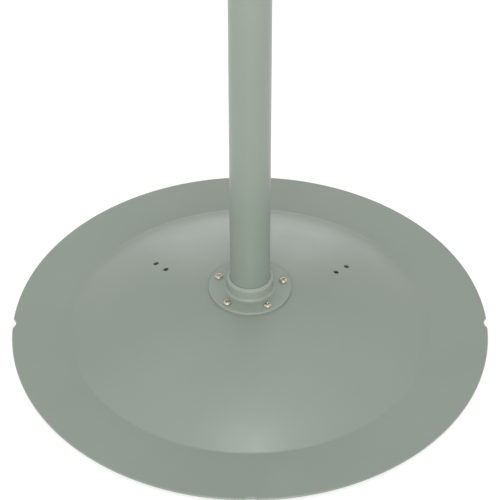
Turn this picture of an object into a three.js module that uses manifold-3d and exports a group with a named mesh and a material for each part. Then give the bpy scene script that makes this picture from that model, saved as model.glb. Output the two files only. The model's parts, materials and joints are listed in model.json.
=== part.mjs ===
// Floor-standing customer pole display: a domed sheet-steel base, a flanged pole, a telescoping mast with a
// cam lever clamp, and a display head that swivels and tilts. Millimetres, +Z up, origin on the floor under
// the pole's axis. The display faces -Y.
import * as THREE from "three";
import { mergeVertices } from "three/addons/utils/BufferGeometryUtils.js";
import Module from "manifold-3d";

const wasm = await Module();
wasm.setup();

// ---------- Driving dimensions ----------

const GAP = 0.3; // between pieces that meet
const THIN_GAP = 0.1; // between stacked flat faces

const BASE_RADIUS = 305;
const SHEET = 3; // steel sheet of the base
const FOOT_HEIGHT = 5;
const CREASE_RADIUS = 231; // where the flat brim turns up into the dome
const DOME_RISE = 60; // from the brim's top to the flat seat under the flange
const SEAT_RADIUS = 54;

const POLE_RADIUS = 25.1;
const POLE_WALL = 1.6;
const POLE_TOP = 960;
const MAST_RADIUS = 19.05;
const MAST_WALL = 1.5;
const MAST_BOTTOM = 700;
const MAST_TOP = 1240;

const FLANGE_RADIUS = 52.2;
const FLANGE_THICKNESS = 3.2;
const BOSS_RADIUS = 29.3;
const BOSS_HEIGHT = 20.5; // from the flange's underside

const SCREW_COUNT = 5;
const SCREW_CIRCLE = 43.2; // radius of the screw circle
const SCREW_TURN = 12.4; // degrees from +X to the first screw
const M6 = { shank: 3, head: 5.4, headHeight: 3.4, hole: 3.4 };
const M4 = { shank: 2, head: 3.8, headHeight: 2.2 };
const M3 = { shank: 1.5, head: 2.9, headHeight: 1.8 };

const HEAD_WIDTH = 236;
const HEAD_HEIGHT = 92;
const HEAD_CORNER = 14;
const HEAD_BACK = -16; // y of the head's flat back; the tilt axis is at y = 0
const HEAD_FRONT = -58;
const HEAD_SPLIT = -40; // y where the bezel meets the rear cover
const SHELL = 2.6; // moulded wall

const TILT_ABOVE_YOKE = 58;

// Facets round a turned piece.
const FACETS = { base: 56, pole: 36, hub: 26, small: 18, screw: 12 };

// ---------- Heights worked out from them ----------

const BRIM_BOTTOM = FOOT_HEIGHT;
const BRIM_TOP = BRIM_BOTTOM + SHEET;
const SEAT_TOP = BRIM_TOP + DOME_RISE;
const SEAT_BOTTOM = SEAT_TOP - SHEET;
const FLANGE_BOTTOM = SEAT_TOP + THIN_GAP;
const FLANGE_TOP = FLANGE_BOTTOM + FLANGE_THICKNESS;
const BOSS_TOP = FLANGE_BOTTOM + BOSS_HEIGHT;
const POLE_SHOULDER = FLANGE_BOTTOM + 4; // the pole's end sits here, inside the boss
const POLE_BORE = POLE_RADIUS - POLE_WALL;
const CAP_TOP = MAST_TOP + 8;
const YOKE_BOTTOM = CAP_TOP + 1.7;
const YOKE_PLATE = 10;
const TILT_Z = YOKE_BOTTOM + YOKE_PLATE + TILT_ABOVE_YOKE;

// ---------- Shape helpers ----------

const rad = (degrees) => (degrees * Math.PI) / 180;
const onCircle = (radius, degrees) => [radius * Math.cos(rad(degrees)), radius * Math.sin(rad(degrees))];

// A closed three.js geometry as a solid.
function solid(geometry) {
  const loose = geometry.index ? geometry.toNonIndexed() : geometry;
  const bare = new THREE.BufferGeometry().setAttribute("position", loose.getAttribute("position"));
  const merged = mergeVertices(bare, 1e-4);
  return new wasm.Manifold(
    new wasm.Mesh({
      numProp: 3,
      vertProperties: merged.attributes.position.array,
      triVerts: new Uint32Array(merged.index.array),
    }),
  );
}

// A solid as a flat-shaded three.js geometry.
function geometryOf(body) {
  const mesh = body.getMesh();
  const positions = new Float32Array(mesh.numVert * 3);
  for (let i = 0; i < mesh.numVert; i++) {
    positions.set(mesh.vertProperties.subarray(i * mesh.numProp, i * mesh.numProp + 3), i * 3);
  }
  const indexed = new THREE.BufferGeometry()
    .setAttribute("position", new THREE.BufferAttribute(positions, 3))
    .setIndex(new THREE.BufferAttribute(mesh.triVerts, 1));
  const flat = indexed.toNonIndexed();
  flat.computeVertexNormals();
  return flat;
}

const union = (first, ...others) => others.reduce((sum, body) => sum.add(body), first);
const cut = (first, ...others) => others.reduce((rest, body) => rest.subtract(body), first);

// Points on an arc in a profile, [radius, height], from one angle to another in degrees.
function arc(centreR, centreZ, radius, from, to, steps) {
  const points = [];
  for (let i = 0; i <= steps; i++) {
    const a = rad(from + ((to - from) * i) / steps);
    points.push([centreR + radius * Math.cos(a), centreZ + radius * Math.sin(a)]);
  }
  return points;
}

// A closed profile of [radius, height] points turned about the Z axis.
function turned(profile, segments) {
  const area = profile.reduce((sum, [r, z], i) => {
    const [nextR, nextZ] = profile[(i + 1) % profile.length];
    return sum + r * nextZ - nextR * z;
  }, 0);
  const ordered = area > 0 ? profile : [...profile].reverse();
  const outline = ordered.map(([r, z]) => new THREE.Vector2(r, z));
  outline.push(outline[0].clone());
  return solid(new THREE.LatheGeometry(outline, segments).rotateX(Math.PI / 2));
}

// A ring or tube between two radii.
const ring = (inner, outer, bottom, top, segments) =>
  turned([[inner, bottom], [outer, bottom], [outer, top], [inner, top]], segments);

// A round bar along Z.
function bar(radius, bottom, top, segments) {
  const geometry = new THREE.CylinderGeometry(radius, radius, top - bottom, segments);
  return solid(geometry.rotateX(Math.PI / 2).translate(0, 0, (bottom + top) / 2));
}

// A box from its lowest to its highest corner.
function block([x0, y0, z0], [x1, y1, z1]) {
  const geometry = new THREE.BoxGeometry(x1 - x0, y1 - y0, z1 - z0);
  return solid(geometry.translate((x0 + x1) / 2, (y0 + y1) / 2, (z0 + z1) / 2));
}

// A flat outline in X and Y, made solid from one height to another.
function slab(shape, bottom, top, curveSteps = 4) {
  const geometry = new THREE.ExtrudeGeometry(shape, {
    depth: top - bottom,
    bevelEnabled: false,
    curveSegments: curveSteps,
  });
  return solid(geometry.translate(0, 0, bottom));
}

// A rectangle with rounded corners, centred on the origin.
function roundedRectangle(width, height, corner) {
  const x = width / 2;
  const y = height / 2;
  const shape = new THREE.Shape();
  shape.moveTo(-x + corner, -y);
  shape.lineTo(x - corner, -y);
  shape.absarc(x - corner, -y + corner, corner, rad(-90), 0, false);
  shape.lineTo(x, y - corner);
  shape.absarc(x - corner, y - corner, corner, 0, rad(90), false);
  shape.lineTo(-x + corner, y);
  shape.absarc(-x + corner, y - corner, corner, rad(90), rad(180), false);
  shape.lineTo(-x, -y + corner);
  shape.absarc(-x + corner, -y + corner, corner, rad(180), rad(270), false);
  return shape;
}

// A regular polygon measured across its flats.
function polygon(acrossFlats, sides) {
  const reach = acrossFlats / 2 / Math.cos(Math.PI / sides);
  const corners = Array.from({ length: sides }, (_, i) => onCircle(reach, (360 * i) / sides));
  return new THREE.Shape(corners.map(([x, y]) => new THREE.Vector2(x, y)));
}

const moved = (body, x, y, z) => body.translate([x, y, z]);
const towardsX = (body) => body.rotate([0, 90, 0]); // +Z becomes +X
const towardsBack = (body) => body.rotate([-90, 0, 0]); // +Z becomes +Y

// An upright outline in X and Z, made solid between two Y values.
const uprightSlab = (shape, front, back, curveSteps) =>
  moved(slab(shape, 0, back - front, curveSteps).rotate([90, 0, 0]), 0, back, 0);

// ---------- Materials ----------

const finish = (color, roughness, metalness) =>
  new THREE.MeshStandardMaterial({ color, roughness, metalness });
const finishes = {
  powderCoat: finish(0x98a398, 0.45, 0.0),
  yellowZinc: finish(0xc9b48c, 0.35, 0.9),
  zinc: finish(0xb9bcbe, 0.35, 0.9),
  blackPlastic: finish(0x2b2d2e, 0.55, 0.0),
  greyPlastic: finish(0x8f9990, 0.55, 0.0),
  whitePlastic: finish(0xd9d9d2, 0.5, 0.0),
  rubber: finish(0x202122, 0.85, 0.0),
  smokedWindow: finish(0x14181a, 0.08, 0.0),
  displayGlass: finish(0x1c2a2a, 0.1, 0.0),
  circuitBoard: finish(0x1f5a3a, 0.5, 0.0),
};

const display = new THREE.Group();

function add(name, body, material) {
  const mesh = new THREE.Mesh(geometryOf(body), material);
  mesh.name = name;
  display.add(mesh);
}

// ---------- Base ----------

// The sheet's outline: flat seat, spherical dome, concave crease and flat brim with a rounded edge.
function baseProfile() {
  const creaseFillet = 12;
  const edge = SHEET / 2;
  // The dome's sphere passes through the seat's edge and the crease, and its centre is on the axis.
  const centreZ =
    (SEAT_TOP ** 2 + SEAT_RADIUS ** 2 - BRIM_TOP ** 2 - CREASE_RADIUS ** 2) / (2 * (SEAT_TOP - BRIM_TOP));
  const sphere = Math.hypot(SEAT_RADIUS, SEAT_TOP - centreZ);
  const filletZ = BRIM_TOP + creaseFillet;
  const filletR = Math.sqrt((sphere + creaseFillet) ** 2 - (filletZ - centreZ) ** 2);
  const lowAngle = (Math.atan2(filletZ - centreZ, filletR) * 180) / Math.PI;
  const highTop = (Math.acos(SEAT_RADIUS / sphere) * 180) / Math.PI;
  const under = sphere - SHEET;
  const highUnder = (Math.asin((SEAT_BOTTOM - centreZ) / under) * 180) / Math.PI;
  const domeSteps = 5;
  const filletSteps = 2;
  return [
    [0, SEAT_TOP],
    ...arc(0, centreZ, sphere, highTop, lowAngle, domeSteps),
    ...arc(filletR, filletZ, creaseFillet, lowAngle + 180, 270, filletSteps).slice(1),
    ...arc(BASE_RADIUS - edge, BRIM_TOP - edge, edge, 90, -90, 3),
    ...arc(filletR, filletZ, creaseFillet + SHEET, 270, lowAngle + 180, filletSteps),
    ...arc(0, centreZ, under, lowAngle, highUnder, domeSteps).slice(1),
    [0, SEAT_BOTTOM],
  ];
}

// A round upright bar standing at a radius and an angle from the pole's axis.
const post = (radius, bottom, top, reach, angle, facets) =>
  moved(bar(radius, bottom, top, facets), ...onCircle(reach, angle), 0);

const screwAngles = Array.from({ length: SCREW_COUNT }, (_, i) => SCREW_TURN + (360 * i) / SCREW_COUNT);

// Upright round cutters at the flange's screw places.
const screwHoles = (radius, bottom, top) =>
  screwAngles.map((angle) => post(radius, bottom, top, SCREW_CIRCLE, angle, FACETS.screw));

function baseShell() {
  const notch = { radius: 13, reach: BASE_RADIUS + 8.5 };
  const notchAt = (angle) => post(notch.radius, 0, 20, notch.reach, angle, FACETS.hub);
  const notches = [0, 90, 180, 270].map(notchAt);
  const sheet = turned(baseProfile(), FACETS.base);
  return cut(sheet, ...notches, ...accessoryHoles(), ...screwHoles(M6.hole, 50, 80));
}

// Two holes behind the pole on the left and two on the right, mirrored, and turned a little with the base.
function accessoryHoles() {
  const turn = -1.5;
  const places = [
    { reach: 140, angle: 28.3 },
    { reach: 119.6, angle: 23.7 },
  ];
  return places.flatMap(({ reach, angle }) =>
    [angle, 180 - angle].map((side) => post(3.5, 20, 70, reach, side + turn, FACETS.screw)),
  );
}

add("base_shell", baseShell(), finishes.powderCoat);

// Rubber pads under the brim.
function footPad() {
  const radius = 14;
  const top = FOOT_HEIGHT - THIN_GAP;
  return turned([[0, 0], [radius - 1, 0], [radius, 1], [radius - 1.5, top], [0, top]], FACETS.small);
}

const FOOT_REACH = 284;
[45, 135, 225, 315].forEach((angle, i) => {
  add(`foot_pad_${i + 1}`, moved(footPad(), ...onCircle(FOOT_REACH, angle), 0), finishes.rubber);
});

// ---------- Flange joint ----------

const PLATE_THICKNESS = 2.5;
const PLATE_TOP = SEAT_BOTTOM - THIN_GAP;
const PLATE_BOTTOM = PLATE_TOP - PLATE_THICKNESS;
const LOCK_SCREW_Z = BOSS_TOP - 8.5;
const WASHER_THICKNESS = 1.4;
const NUT_HEIGHT = 5;

function backingPlate() {
  const plate = ring(20, 50, PLATE_BOTTOM, PLATE_TOP, FACETS.hub);
  return cut(plate, ...screwHoles(M6.hole, 50, 80));
}

// Round flange with a filleted, chamfered boss that takes the pole's end on an inner shoulder.
function poleFlange() {
  const fillet = 3.8;
  const edge = 1;
  const socket = POLE_RADIUS + 0.12;
  const shoulder = POLE_BORE - 1.5;
  const profile = [
    [shoulder, FLANGE_BOTTOM],
    [FLANGE_RADIUS, FLANGE_BOTTOM],
    ...arc(FLANGE_RADIUS - edge, FLANGE_TOP - edge, edge, 0, 90, 1),
    ...arc(BOSS_RADIUS + fillet, FLANGE_TOP + fillet, fillet, 270, 180, 3),
    [BOSS_RADIUS, BOSS_TOP - 3.4],
    [BOSS_RADIUS - 0.6, BOSS_TOP - 2.4],
    [socket + 0.8, BOSS_TOP],
    [socket, BOSS_TOP],
    [socket, POLE_SHOULDER],
    [shoulder, POLE_SHOULDER],
  ];
  const lockHole = moved(towardsBack(bar(2.7, 20, 40, FACETS.screw)), 0, 0, LOCK_SCREW_Z);
  return cut(turned(profile, FACETS.pole), ...screwHoles(M6.hole, 50, 80), lockHole);
}

// Pan head machine screw with a cross recess, its head's underside at z = 0 and its shank pointing down.
function panScrew({ shank, head, headHeight }, length) {
  const profile = [
    [0, -length],
    [shank, -length],
    [shank, 0],
    [head, 0],
    [head, headHeight * 0.45],
    [head * 0.72, headHeight * 0.9],
    [0, headHeight],
  ];
  const wing = head * 0.62;
  const slot = shank * 0.3;
  const floor = headHeight * 0.4;
  const recess = union(
    block([-wing, -slot, floor], [wing, slot, headHeight + 1]),
    block([-slot, -wing, floor], [slot, wing, headHeight + 1]),
  );
  return cut(turned(profile, FACETS.screw), recess);
}

// Hex nut with its bore, standing on z = 0.
const hexNut = (acrossFlats, height, bore) =>
  cut(slab(polygon(acrossFlats, 6), 0, height), bar(bore, -1, height + 1, FACETS.screw));

add("backing_plate", backingPlate(), finishes.zinc);
add("pole_flange", poleFlange(), finishes.powderCoat);

screwAngles.forEach((angle, i) => {
  const [x, y] = onCircle(SCREW_CIRCLE, angle);
  const washerTop = PLATE_BOTTOM - THIN_GAP;
  const nutTop = washerTop - WASHER_THICKNESS - THIN_GAP;
  const screw = panScrew(M6, 20).rotate([0, 0, angle * 3]);
  add(`flange_screw_${i + 1}`, moved(screw, x, y, FLANGE_TOP + THIN_GAP), finishes.yellowZinc);
  const washer = ring(M6.shank + 0.3, 6, washerTop - WASHER_THICKNESS, washerTop, FACETS.screw);
  add(`flange_washer_${i + 1}`, moved(washer, x, y, 0), finishes.zinc);
  const nut = hexNut(10, NUT_HEIGHT, M6.shank + 0.2).rotate([0, 0, angle]);
  add(`flange_nut_${i + 1}`, moved(nut, x, y, nutTop - NUT_HEIGHT), finishes.zinc);
});

// Hex socket set screw through the back of the boss, bearing on the pole.
function lockScrew() {
  const tip = POLE_RADIUS + GAP;
  const body = bar(2.45, tip, BOSS_RADIUS - 0.2, FACETS.screw);
  const socket = slab(polygon(2.5, 6), BOSS_RADIUS - 2, BOSS_RADIUS + 1);
  return moved(towardsBack(cut(body, socket)), 0, 0, LOCK_SCREW_Z);
}

add("pole_lock_screw", lockScrew(), finishes.zinc);

// ---------- Pole ----------

const GROMMET_Z = 150;
const GROMMET_HOLE = 7;
const GROMMET_RADIUS = 9.5;

function poleTube() {
  const tube = ring(POLE_BORE, POLE_RADIUS, POLE_SHOULDER + THIN_GAP, POLE_TOP, FACETS.pole);
  const outlet = moved(towardsBack(bar(GROMMET_HOLE, 10, 40, FACETS.screw)), 0, 0, GROMMET_Z);
  const collarScrewHole = moved(towardsBack(bar(2.3, 10, 40, FACETS.screw)), 0, 0, COLLAR_SCREW_Z);
  return cut(tube, outlet, collarScrewHole);
}

// Rubber cable grommet with a closed centre, gripping the pole's wall.
function cableGrommet() {
  const [back, edge, face] = [18, 27.5, 29.2];
  const button = turned(
    [
      [0, back], [GROMMET_RADIUS, back], [GROMMET_RADIUS, edge],
      [8, face - 0.2], [4, face], [3.4, face - 1], [0, face - 1],
    ],
    FACETS.small,
  );
  const wall = ring(POLE_BORE - GAP, POLE_RADIUS + GAP, -20, 20, FACETS.pole);
  const neck = bar(GROMMET_HOLE - GAP, 21, 27, FACETS.screw);
  const hollow = bar(4.5, back - 1, back + 2.5, FACETS.screw);
  const upright = cut(towardsBack(button), wall);
  return moved(cut(union(upright, towardsBack(neck)), towardsBack(hollow)), 0, 0, GROMMET_Z);
}

// ---------- Cam lever clamp on top of the pole ----------

const COLLAR = { bottom: 925, top: 990, radius: 33, bore: MAST_RADIUS + 0.35 };
const COLLAR_SCREW_Z = COLLAR.bottom + 12;
const BUSH_LIP = 2.5;
const LUG = { inner: 1.5, outer: 11.5, reach: 50, bottom: 962, top: 988 };
const CAM = { x: 21.5, y: 41, z: 975, radius: 7, throw: 0.6, height: 14 };

function clampCollar() {
  const socket = POLE_RADIUS + 0.15;
  const lipTop = POLE_TOP + THIN_GAP + BUSH_LIP + THIN_GAP;
  const bevel = 2.5;
  const body = turned(
    [
      [socket, COLLAR.bottom], [COLLAR.radius - bevel, COLLAR.bottom],
      [COLLAR.radius, COLLAR.bottom + bevel], [COLLAR.radius, COLLAR.top - bevel],
      [COLLAR.radius - bevel, COLLAR.top], [COLLAR.bore, COLLAR.top],
      [COLLAR.bore, lipTop], [socket, lipTop],
    ],
    48,
  );
  const lugs = block([-LUG.outer, 29, LUG.bottom], [LUG.outer, LUG.reach, LUG.top]);
  const round = (LUG.top - LUG.bottom) / 2;
  const corner = cut(
    block([-20, LUG.reach - 9, LUG.bottom - 1], [20, LUG.reach + 1, LUG.top + 1]),
    moved(towardsX(bar(round, -21, 21, FACETS.small)), 0, LUG.reach - round, CAM.z),
  );
  const split = block([-LUG.inner, 10, LUG.bottom - 4], [LUG.inner, 60, COLLAR.top + 1]);
  const boltHole = moved(towardsX(bar(3.4, -20, 20, FACETS.screw)), 0, CAM.y, CAM.z);
  const screwHole = moved(towardsBack(bar(2.3, 20, 40, FACETS.screw)), 0, 0, COLLAR_SCREW_Z);
  return cut(union(body, cut(lugs, corner)), split, boltHole, screwHole);
}

// Nylon sleeve between the pole and the mast, with a lip on the pole's end.
function guideBush() {
  const inner = MAST_RADIUS + 0.2;
  const [sleeve, lip] = [POLE_BORE - 0.15, POLE_RADIUS - 0.2];
  const lipBottom = POLE_TOP + THIN_GAP;
  const profile = [
    [inner, 900],
    [sleeve, 900],
    [sleeve, lipBottom],
    [lip, lipBottom],
    [lip, lipBottom + BUSH_LIP],
    [inner, lipBottom + BUSH_LIP],
  ];
  return turned(profile, FACETS.hub);
}

// Bolt that draws the lugs together: a plain bar with a flat eye for the lever's pin.
function clampBolt() {
  const eyeRadius = 5;
  const halfThick = 3;
  const shank = bar(3, -20, CAM.x - eyeRadius, FACETS.screw);
  const neck = block([-halfThick, -eyeRadius, CAM.x - 6], [halfThick, eyeRadius, CAM.x]);
  const eye = moved(towardsX(bar(eyeRadius, -halfThick, halfThick, FACETS.small)), 0, 0, CAM.x);
  const pinHole = moved(towardsX(bar(2.7, -8, 8, FACETS.screw)), 0, 0, CAM.x);
  return moved(towardsX(cut(union(shank, neck, eye), pinHole)), 0, CAM.y, CAM.z);
}

// Lever: a cam barrel slotted for the bolt's eye, and an arm that wraps round the collar.
function clampLever() {
  const centre = new THREE.Vector2(CAM.x, CAM.y);
  const armThickness = 6.5;
  const armInner = COLLAR.radius + 2.5;
  const armOuter = armInner + armThickness;
  const start = (Math.atan2(centre.y, centre.x) * 180) / Math.PI - 1;
  const end = -48;
  const armMiddle = (armInner + armOuter) / 2;
  const arm = new THREE.Shape();
  arm.absarc(0, 0, armOuter, rad(start), rad(end), true);
  arm.absarc(...onCircle(armMiddle, end), armOuter - armMiddle, rad(end), rad(end - 180), true);
  arm.absarc(0, 0, armInner, rad(end), rad(start), false);
  const low = CAM.z - CAM.height / 2;
  const high = CAM.z + CAM.height / 2;
  const barrel = moved(bar(CAM.radius, low, high, FACETS.small), CAM.x - CAM.throw, CAM.y, 0);
  const armBody = slab(arm, low, high, 14);
  const eye = { depth: 8.5, half: 3.4 };
  const eyeRoom = block(
    [CAM.x - 12, CAM.y - eye.depth, CAM.z - eye.half],
    [CAM.x + 12, CAM.y + 12, CAM.z + eye.half],
  );
  const pinHole = moved(bar(2.6, low - 1, high + 1, FACETS.screw), CAM.x, CAM.y, 0);
  const lugRoom = block([-20, 20, low - 2], [LUG.outer + 2.4, 60, high + 2]);
  const collarRoom = bar(COLLAR.radius + 1, low - 2, high + 2, FACETS.pole);
  return cut(union(barrel, armBody), eyeRoom, pinHole, lugRoom, collarRoom);
}

add("pole_tube", poleTube(), finishes.powderCoat);
add("cable_grommet", cableGrommet(), finishes.rubber);
add("clamp_collar", clampCollar(), finishes.blackPlastic);
add("guide_bush", guideBush(), finishes.whitePlastic);

const collarScrew = panScrew(M4, 9);
const collarScrewSeat = COLLAR.radius + THIN_GAP;
add("collar_screw", moved(towardsBack(collarScrew), 0, collarScrewSeat, COLLAR_SCREW_Z), finishes.zinc);

add("clamp_bolt", clampBolt(), finishes.zinc);
const clampNut = union(hexNut(10, 4.5, 3.2), ring(3.2, 6.5, 4, 5.4, FACETS.screw));
add("clamp_nut", moved(towardsX(clampNut), -LUG.outer - THIN_GAP - 5.4, CAM.y, CAM.z), finishes.zinc);
const camWasher = ring(3.3, 6.5, LUG.outer + THIN_GAP, LUG.outer + 2.1, FACETS.small);
add("cam_washer", moved(towardsX(camWasher), 0, CAM.y, CAM.z), finishes.blackPlastic);
add("clamp_lever", clampLever(), finishes.blackPlastic);
add("lever_pin", moved(bar(2.5, CAM.z - 6.8, CAM.z + 6.8, FACETS.screw), CAM.x, CAM.y, 0), finishes.zinc);

// ---------- Mast ----------

const MAST_BORE = MAST_RADIUS - MAST_WALL;

// Nylon glide in the mast's lower end: it centres the mast in the pole and stops it under the guide bush.
function mastGlide() {
  const wide = POLE_BORE - GAP;
  const narrow = MAST_BORE - 0.15;
  const inner = 13;
  const seat = MAST_BOTTOM - THIN_GAP;
  const profile = [
    [inner, seat - 18],
    [wide - 1.5, seat - 18],
    [wide, seat - 16],
    [wide, seat],
    [narrow, seat],
    [narrow, seat + 22],
    [inner, seat + 22],
  ];
  return turned(profile, FACETS.hub);
}

// Cap on the mast's top: a skirt outside the tube, a bearing bore, and a lug that stops the swivel.
const SWIVEL_BORE = 12.3;
const STOP_LUG = { reach: 27, halfWidth: 3.2, height: 4 };

function mastCap() {
  const outer = 23;
  const skirt = MAST_RADIUS + 0.15;
  const plate = MAST_TOP + THIN_GAP;
  const profile = [
    [skirt, MAST_TOP - 16],
    [outer - 1, MAST_TOP - 16],
    [outer, MAST_TOP - 15],
    [outer, CAP_TOP],
    [SWIVEL_BORE, CAP_TOP],
    [SWIVEL_BORE, plate],
    [skirt, plate],
  ];
  const lugTop = YOKE_BOTTOM + STOP_LUG.height;
  const lug = block([-STOP_LUG.halfWidth, 21, MAST_TOP - 6], [STOP_LUG.halfWidth, STOP_LUG.reach, lugTop]);
  const yokeRoom = bar(outer + 0.6, CAP_TOP, lugTop + 1, FACETS.pole);
  return union(turned(profile, FACETS.pole), cut(lug, yokeRoom));
}

add("mast_tube", ring(MAST_BORE, MAST_RADIUS, MAST_BOTTOM, MAST_TOP, FACETS.pole), finishes.powderCoat);
add("mast_glide", mastGlide(), finishes.whitePlastic);
add("mast_cap", mastCap(), finishes.blackPlastic);

// ---------- Swivel and tilt yoke ----------

const ARM = { inner: 23, thickness: 4, radius: 13 };
const BOLT_RADIUS = 4;
const SPINDLE = { bore: 8.5, groove: 11, grooveBottom: MAST_TOP - 2.2, grooveTop: MAST_TOP - 0.3 };

// The yoke's turned middle: a hollow spindle with a ring groove, and the round plate above it.
function yokeHub() {
  const journal = SWIVEL_BORE - GAP;
  const plateTop = YOKE_BOTTOM + YOKE_PLATE;
  const profile = [
    [SPINDLE.bore, MAST_TOP - 7],
    [journal - 1, MAST_TOP - 7],
    [journal, MAST_TOP - 6],
    [journal, SPINDLE.grooveBottom],
    [SPINDLE.groove, SPINDLE.grooveBottom],
    [SPINDLE.groove, SPINDLE.grooveTop],
    [journal, SPINDLE.grooveTop],
    [journal, YOKE_BOTTOM],
    [23, YOKE_BOTTOM],
    [23, plateTop - 1.5],
    [21.5, plateTop],
    [SPINDLE.bore, plateTop],
  ];
  return turned(profile, FACETS.hub);
}

function yokeArm(side) {
  const [near, far] = [side * ARM.inner, side * (ARM.inner + ARM.thickness)];
  const [x0, x1] = [Math.min(near, far), Math.max(near, far)];
  const upright = block([x0, -ARM.radius, FOOT_LEVEL], [x1, ARM.radius, TILT_Z]);
  const top = moved(towardsX(bar(ARM.radius, x0, x1, FACETS.hub)), 0, 0, TILT_Z);
  const hole = moved(towardsX(bar(BOLT_RADIUS + 0.4, x0 - 1, x1 + 1, FACETS.small)), 0, 0, TILT_Z);
  return cut(union(upright, top), hole);
}

// Yoke: hub, two arms on a cross foot that clears the cap's stop, and its own stop lug at the front.
const FOOT_LEVEL = YOKE_BOTTOM + STOP_LUG.height + 0.5;

function tiltYoke() {
  const lugTop = YOKE_BOTTOM + STOP_LUG.height;
  const lug = block([-STOP_LUG.halfWidth, -STOP_LUG.reach, YOKE_BOTTOM], [STOP_LUG.halfWidth, -20, lugTop]);
  const outer = ARM.inner + ARM.thickness;
  const foot = block([-outer, -ARM.radius, FOOT_LEVEL], [outer, ARM.radius, YOKE_BOTTOM + YOKE_PLATE - 1]);
  const wireWay = bar(SPINDLE.bore, YOKE_BOTTOM - 2, YOKE_BOTTOM + YOKE_PLATE + 2, FACETS.hub);
  return cut(union(yokeHub(), lug, foot, yokeArm(-1), yokeArm(1)), wireWay);
}

// Split ring in the spindle's groove, under the cap.
function retainingRing() {
  const [bottom, top] = [SPINDLE.grooveBottom + 0.3, SPINDLE.grooveTop - 0.3];
  return cut(ring(11.2, 15, bottom, top, FACETS.small), block([-3, 5, bottom - 1], [3, 20, top + 1]));
}

const swivelWasher = ring(SWIVEL_BORE + 0.2, 21.5, CAP_TOP + THIN_GAP, CAP_TOP + 1.6, FACETS.hub);
add("swivel_washer", swivelWasher, finishes.whitePlastic);
add("tilt_yoke", tiltYoke(), finishes.powderCoat);
add("retaining_ring", retainingRing(), finishes.zinc);

// ---------- Tilt bolt and knob ----------

const KNUCKLE = { half: 20, radius: 11 };
const ARM_OUTSIDE = ARM.inner + ARM.thickness;

// Round-head bolt across the yoke, its head outside the left arm.
function tiltBolt() {
  const headFace = ARM_OUTSIDE + THIN_GAP;
  const dome = turned([[0, 0], [9, 0], [9, 1], [6.5, 3.4], [3, 4.4], [0, 4.6]], FACETS.small);
  const head = moved(dome.rotate([0, -90, 0]), -headFace, 0, 0);
  const shank = towardsX(bar(BOLT_RADIUS, -headFace - 0.2, headFace + 14, FACETS.small));
  return moved(union(shank, head), 0, 0, TILT_Z);
}

// Six-lobed clamping knob with a blind bore for the bolt's end.
function tiltKnob() {
  const face = ARM_OUTSIDE + 2.1;
  const radius = 15;
  const profile = [
    [0, face + 2],
    [9, face],
    [radius - 1, face + 3],
    [radius, face + 5],
    [radius, face + 14],
    [radius - 2.5, face + 17],
    [0, face + 18],
  ];
  const grip = { radius: 5, reach: radius + 3, count: 6 };
  const grips = Array.from({ length: grip.count }, (_, i) =>
    post(grip.radius, face + 1, face + 20, grip.reach, (360 * i) / grip.count, FACETS.screw),
  );
  const bore = bar(BOLT_RADIUS + GAP, face - 1, face + 13, FACETS.small);
  return moved(towardsX(cut(turned(profile, FACETS.hub), bore, ...grips)), 0, 0, TILT_Z);
}

// Flat ring standing on the tilt axis between two X values.
const tiltRing = (inner, outer, x0, x1) =>
  moved(towardsX(ring(inner, outer, x0, x1, FACETS.small)), 0, 0, TILT_Z);

const [discIn, discOut] = [KNUCKLE.half + THIN_GAP, ARM.inner - THIN_GAP];
add("tilt_bolt", tiltBolt(), finishes.zinc);
add("tilt_knob", tiltKnob(), finishes.blackPlastic);
add("knob_washer", tiltRing(BOLT_RADIUS + GAP, 9, ARM_OUTSIDE + THIN_GAP, ARM_OUTSIDE + 1.7), finishes.zinc);
add("friction_washer_left", tiltRing(BOLT_RADIUS + 0.4, 10.5, -discOut, -discIn), finishes.whitePlastic);
add("friction_washer_right", tiltRing(BOLT_RADIUS + 0.4, 10.5, discIn, discOut), finishes.whitePlastic);

// ---------- Display head ----------

const WINDOW = { width: 196, height: 56, corner: 4 };
const SCREW_X = HEAD_WIDTH / 2 - 12;
const SCREW_Z = HEAD_HEIGHT / 2 - 12;
const COVER_SCREWS = [-1, 1].flatMap((x) => [-1, 1].map((z) => [x * SCREW_X, z * SCREW_Z]));
const COVER_SCREW_SEAT = HEAD_SPLIT + 8; // floor of the screw wells
const BUTTON = { x: -78, z: 22, radius: 4.5 };
const PORTS = { x: 72, z: -22, width: 44, height: 18, corner: 2, depth: 9 };

const headOutline = roundedRectangle(HEAD_WIDTH, HEAD_HEIGHT, HEAD_CORNER);
const innerOutline = roundedRectangle(HEAD_WIDTH - 2 * SHELL, HEAD_HEIGHT - 2 * SHELL, HEAD_CORNER - SHELL);
const atHead = (body) => moved(body, 0, 0, TILT_Z);
const panel = (width, height, corner, front, back) =>
  uprightSlab(roundedRectangle(width, height, corner), front, back, 2);
// A round bar along Y at a place on the head's back.
const pin = (radius, front, back, x, z, facets) =>
  moved(towardsBack(bar(radius, front, back, facets)), x, 0, z);

function frontBezel() {
  const shell = uprightSlab(headOutline, HEAD_FRONT, HEAD_SPLIT - THIN_GAP);
  const room = uprightSlab(innerOutline, HEAD_FRONT + 3, HEAD_SPLIT + 1);
  const opening = panel(WINDOW.width, WINDOW.height, WINDOW.corner, HEAD_FRONT - 1, HEAD_FRONT + 4);
  const pillars = COVER_SCREWS.map(([x, z]) =>
    cut(
      pin(4, HEAD_FRONT + 2, HEAD_SPLIT - THIN_GAP, x, z, FACETS.screw),
      pin(1.7, HEAD_FRONT + 5, HEAD_SPLIT + 1, x, z, FACETS.screw),
    ),
  );
  return union(cut(shell, room, opening), ...pillars);
}

// Five cooling slots on each side of the rear cover.
const ventSlots = [-52, 52].flatMap((x) =>
  [-4, 2, 8, 14, 20].map((z) => block([x - 15, HEAD_BACK - 5, z - 1.2], [x + 15, HEAD_BACK + 1, z + 1.2])),
);

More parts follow.
